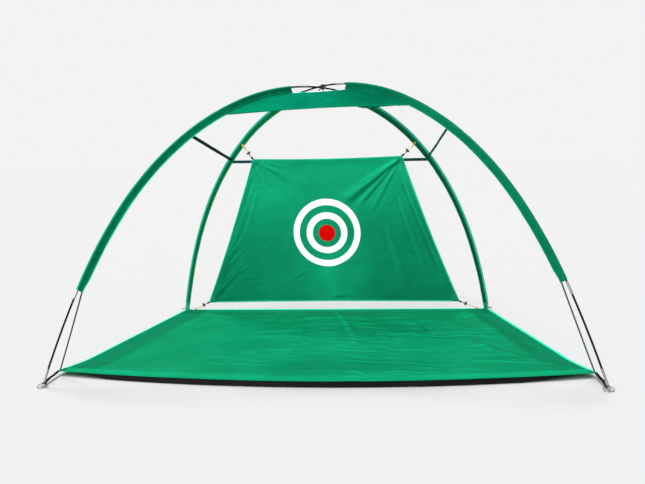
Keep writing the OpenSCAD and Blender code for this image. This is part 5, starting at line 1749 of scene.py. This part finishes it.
# ------------------------------------------------------------------ finishes of the carried-over solids
SLOT_MATS = {"pole_black": M_POLE, "ferrule_grey": M_FERRULE, "wire_steel": M_STEEL, "lock_black": M_LOCK, "spring_steel": M_SPRING,
             "webbing_dark": M_WEB, "shock_cord_white": M_SHOCK, "elastic_yellow": M_YELLOW, "binding_teal": M_TEAL}
KEEP = {"pole_a_rods": M_POLE, "pole_b_rods": M_POLE, "pole_a_ferrules": M_FERRULE, "pole_b_ferrules": M_FERRULE,
        "foot_ferrules": M_FERRULE, "foot_pins": M_STEEL}
for r in ("front_left", "front_right", "rear_left", "rear_right"):
    KEEP[f"ring_{r}"] = M_STEEL
for q in QUADS:
    KEEP[f"lock_{q}"] = M_LOCK
    KEEP[f"button_{q}"] = M_LOCK
for name, mat in KEEP.items():
    o = frame["nodes"][name]
    if not o.material_slots:
        o.data.materials.append(mat)
    for sl in o.material_slots:
        sl.material = mat

# ------------------------------------------------------------------ stage, world and lights
ground = Mat("stage_floor", (0.85, 0.85, 0.85))
p = ground.principled((0.932, 0.931, 0.930), 0.9, None, Specular_IOR_Level=0.0)
ground.done(p.outputs[0])
me = bpy.data.meshes.new("stage")
me.from_pydata([(-60, -60, -0.0004), (60, -60, -0.0004), (60, 60, -0.0004), (-60, 60, -0.0004)], [], [(0, 1, 2, 3)])
me.materials.append(ground.m)
stage = bpy.data.objects.new("stage", me)
scene.collection.objects.link(stage)

world = bpy.data.worlds.new("world")
scene.world = world
world.use_nodes = True
wt = world.node_tree
wt.nodes.clear()
wout = wt.nodes.new("ShaderNodeOutputWorld")
wmix = wt.nodes.new("ShaderNodeMixShader")
wlp = wt.nodes.new("ShaderNodeLightPath")
wa_, wb_ = wt.nodes.new("ShaderNodeBackground"), wt.nodes.new("ShaderNodeBackground")
wa_.inputs["Color"].default_value = (1, 1, 1, 1)
wa_.inputs["Strength"].default_value = 0.465
wb_.inputs["Color"].default_value = (1, 1, 1, 1)
wb_.inputs["Strength"].default_value = 0.896
wt.links.new(wlp.outputs["Is Camera Ray"], wmix.inputs[0])
wt.links.new(wa_.outputs[0], wmix.inputs[1])
wt.links.new(wb_.outputs[0], wmix.inputs[2])
wt.links.new(wmix.outputs[0], wout.inputs["Surface"])


def sun(name, to_light, share, angle, ref=(0, 0, 1), only=None, blockers=None):
    """A sun whose light on a surface facing ref is share times the world's unit."""
    d = unit(np.array(to_light, float))
    li = bpy.data.lights.new(name, "SUN")
    li.energy = share * math.pi / float(np.dot(d, ref))
    li.angle = math.radians(angle)
    o = bpy.data.objects.new(name, li)
    o.rotation_mode = "QUATERNION"
    o.rotation_quaternion = Vector(d).to_track_quat("Z", "Y")
    scene.collection.objects.link(o)
    if only is not None:
        o.light_linking.receiver_collection = only
    if blockers is not None:
        o.light_linking.blocker_collection = blockers
    return o


lit = bpy.data.collections.new("fabric_lit")
inner = bpy.data.collections.new("inner_parts")
for o in list(scene.objects):
    if o.type == "MESH" and o is not stage:
        lit.objects.link(o)
        if not o.name.startswith(("roof", "sleeve", "edge_binding", "net_", "tape", "stitches")):
            inner.objects.link(o)
sun("key_back", (-0.16, 0.42, 1.0), 0.415, 18)
sun("key_front", (-0.45, -0.75, 1.20), 0.08, 22)
sun("soft_front", (-0.75, -0.85, 0.66), 0.74, 18, ref=tuple(T_FRONT), only=lit, blockers=inner)
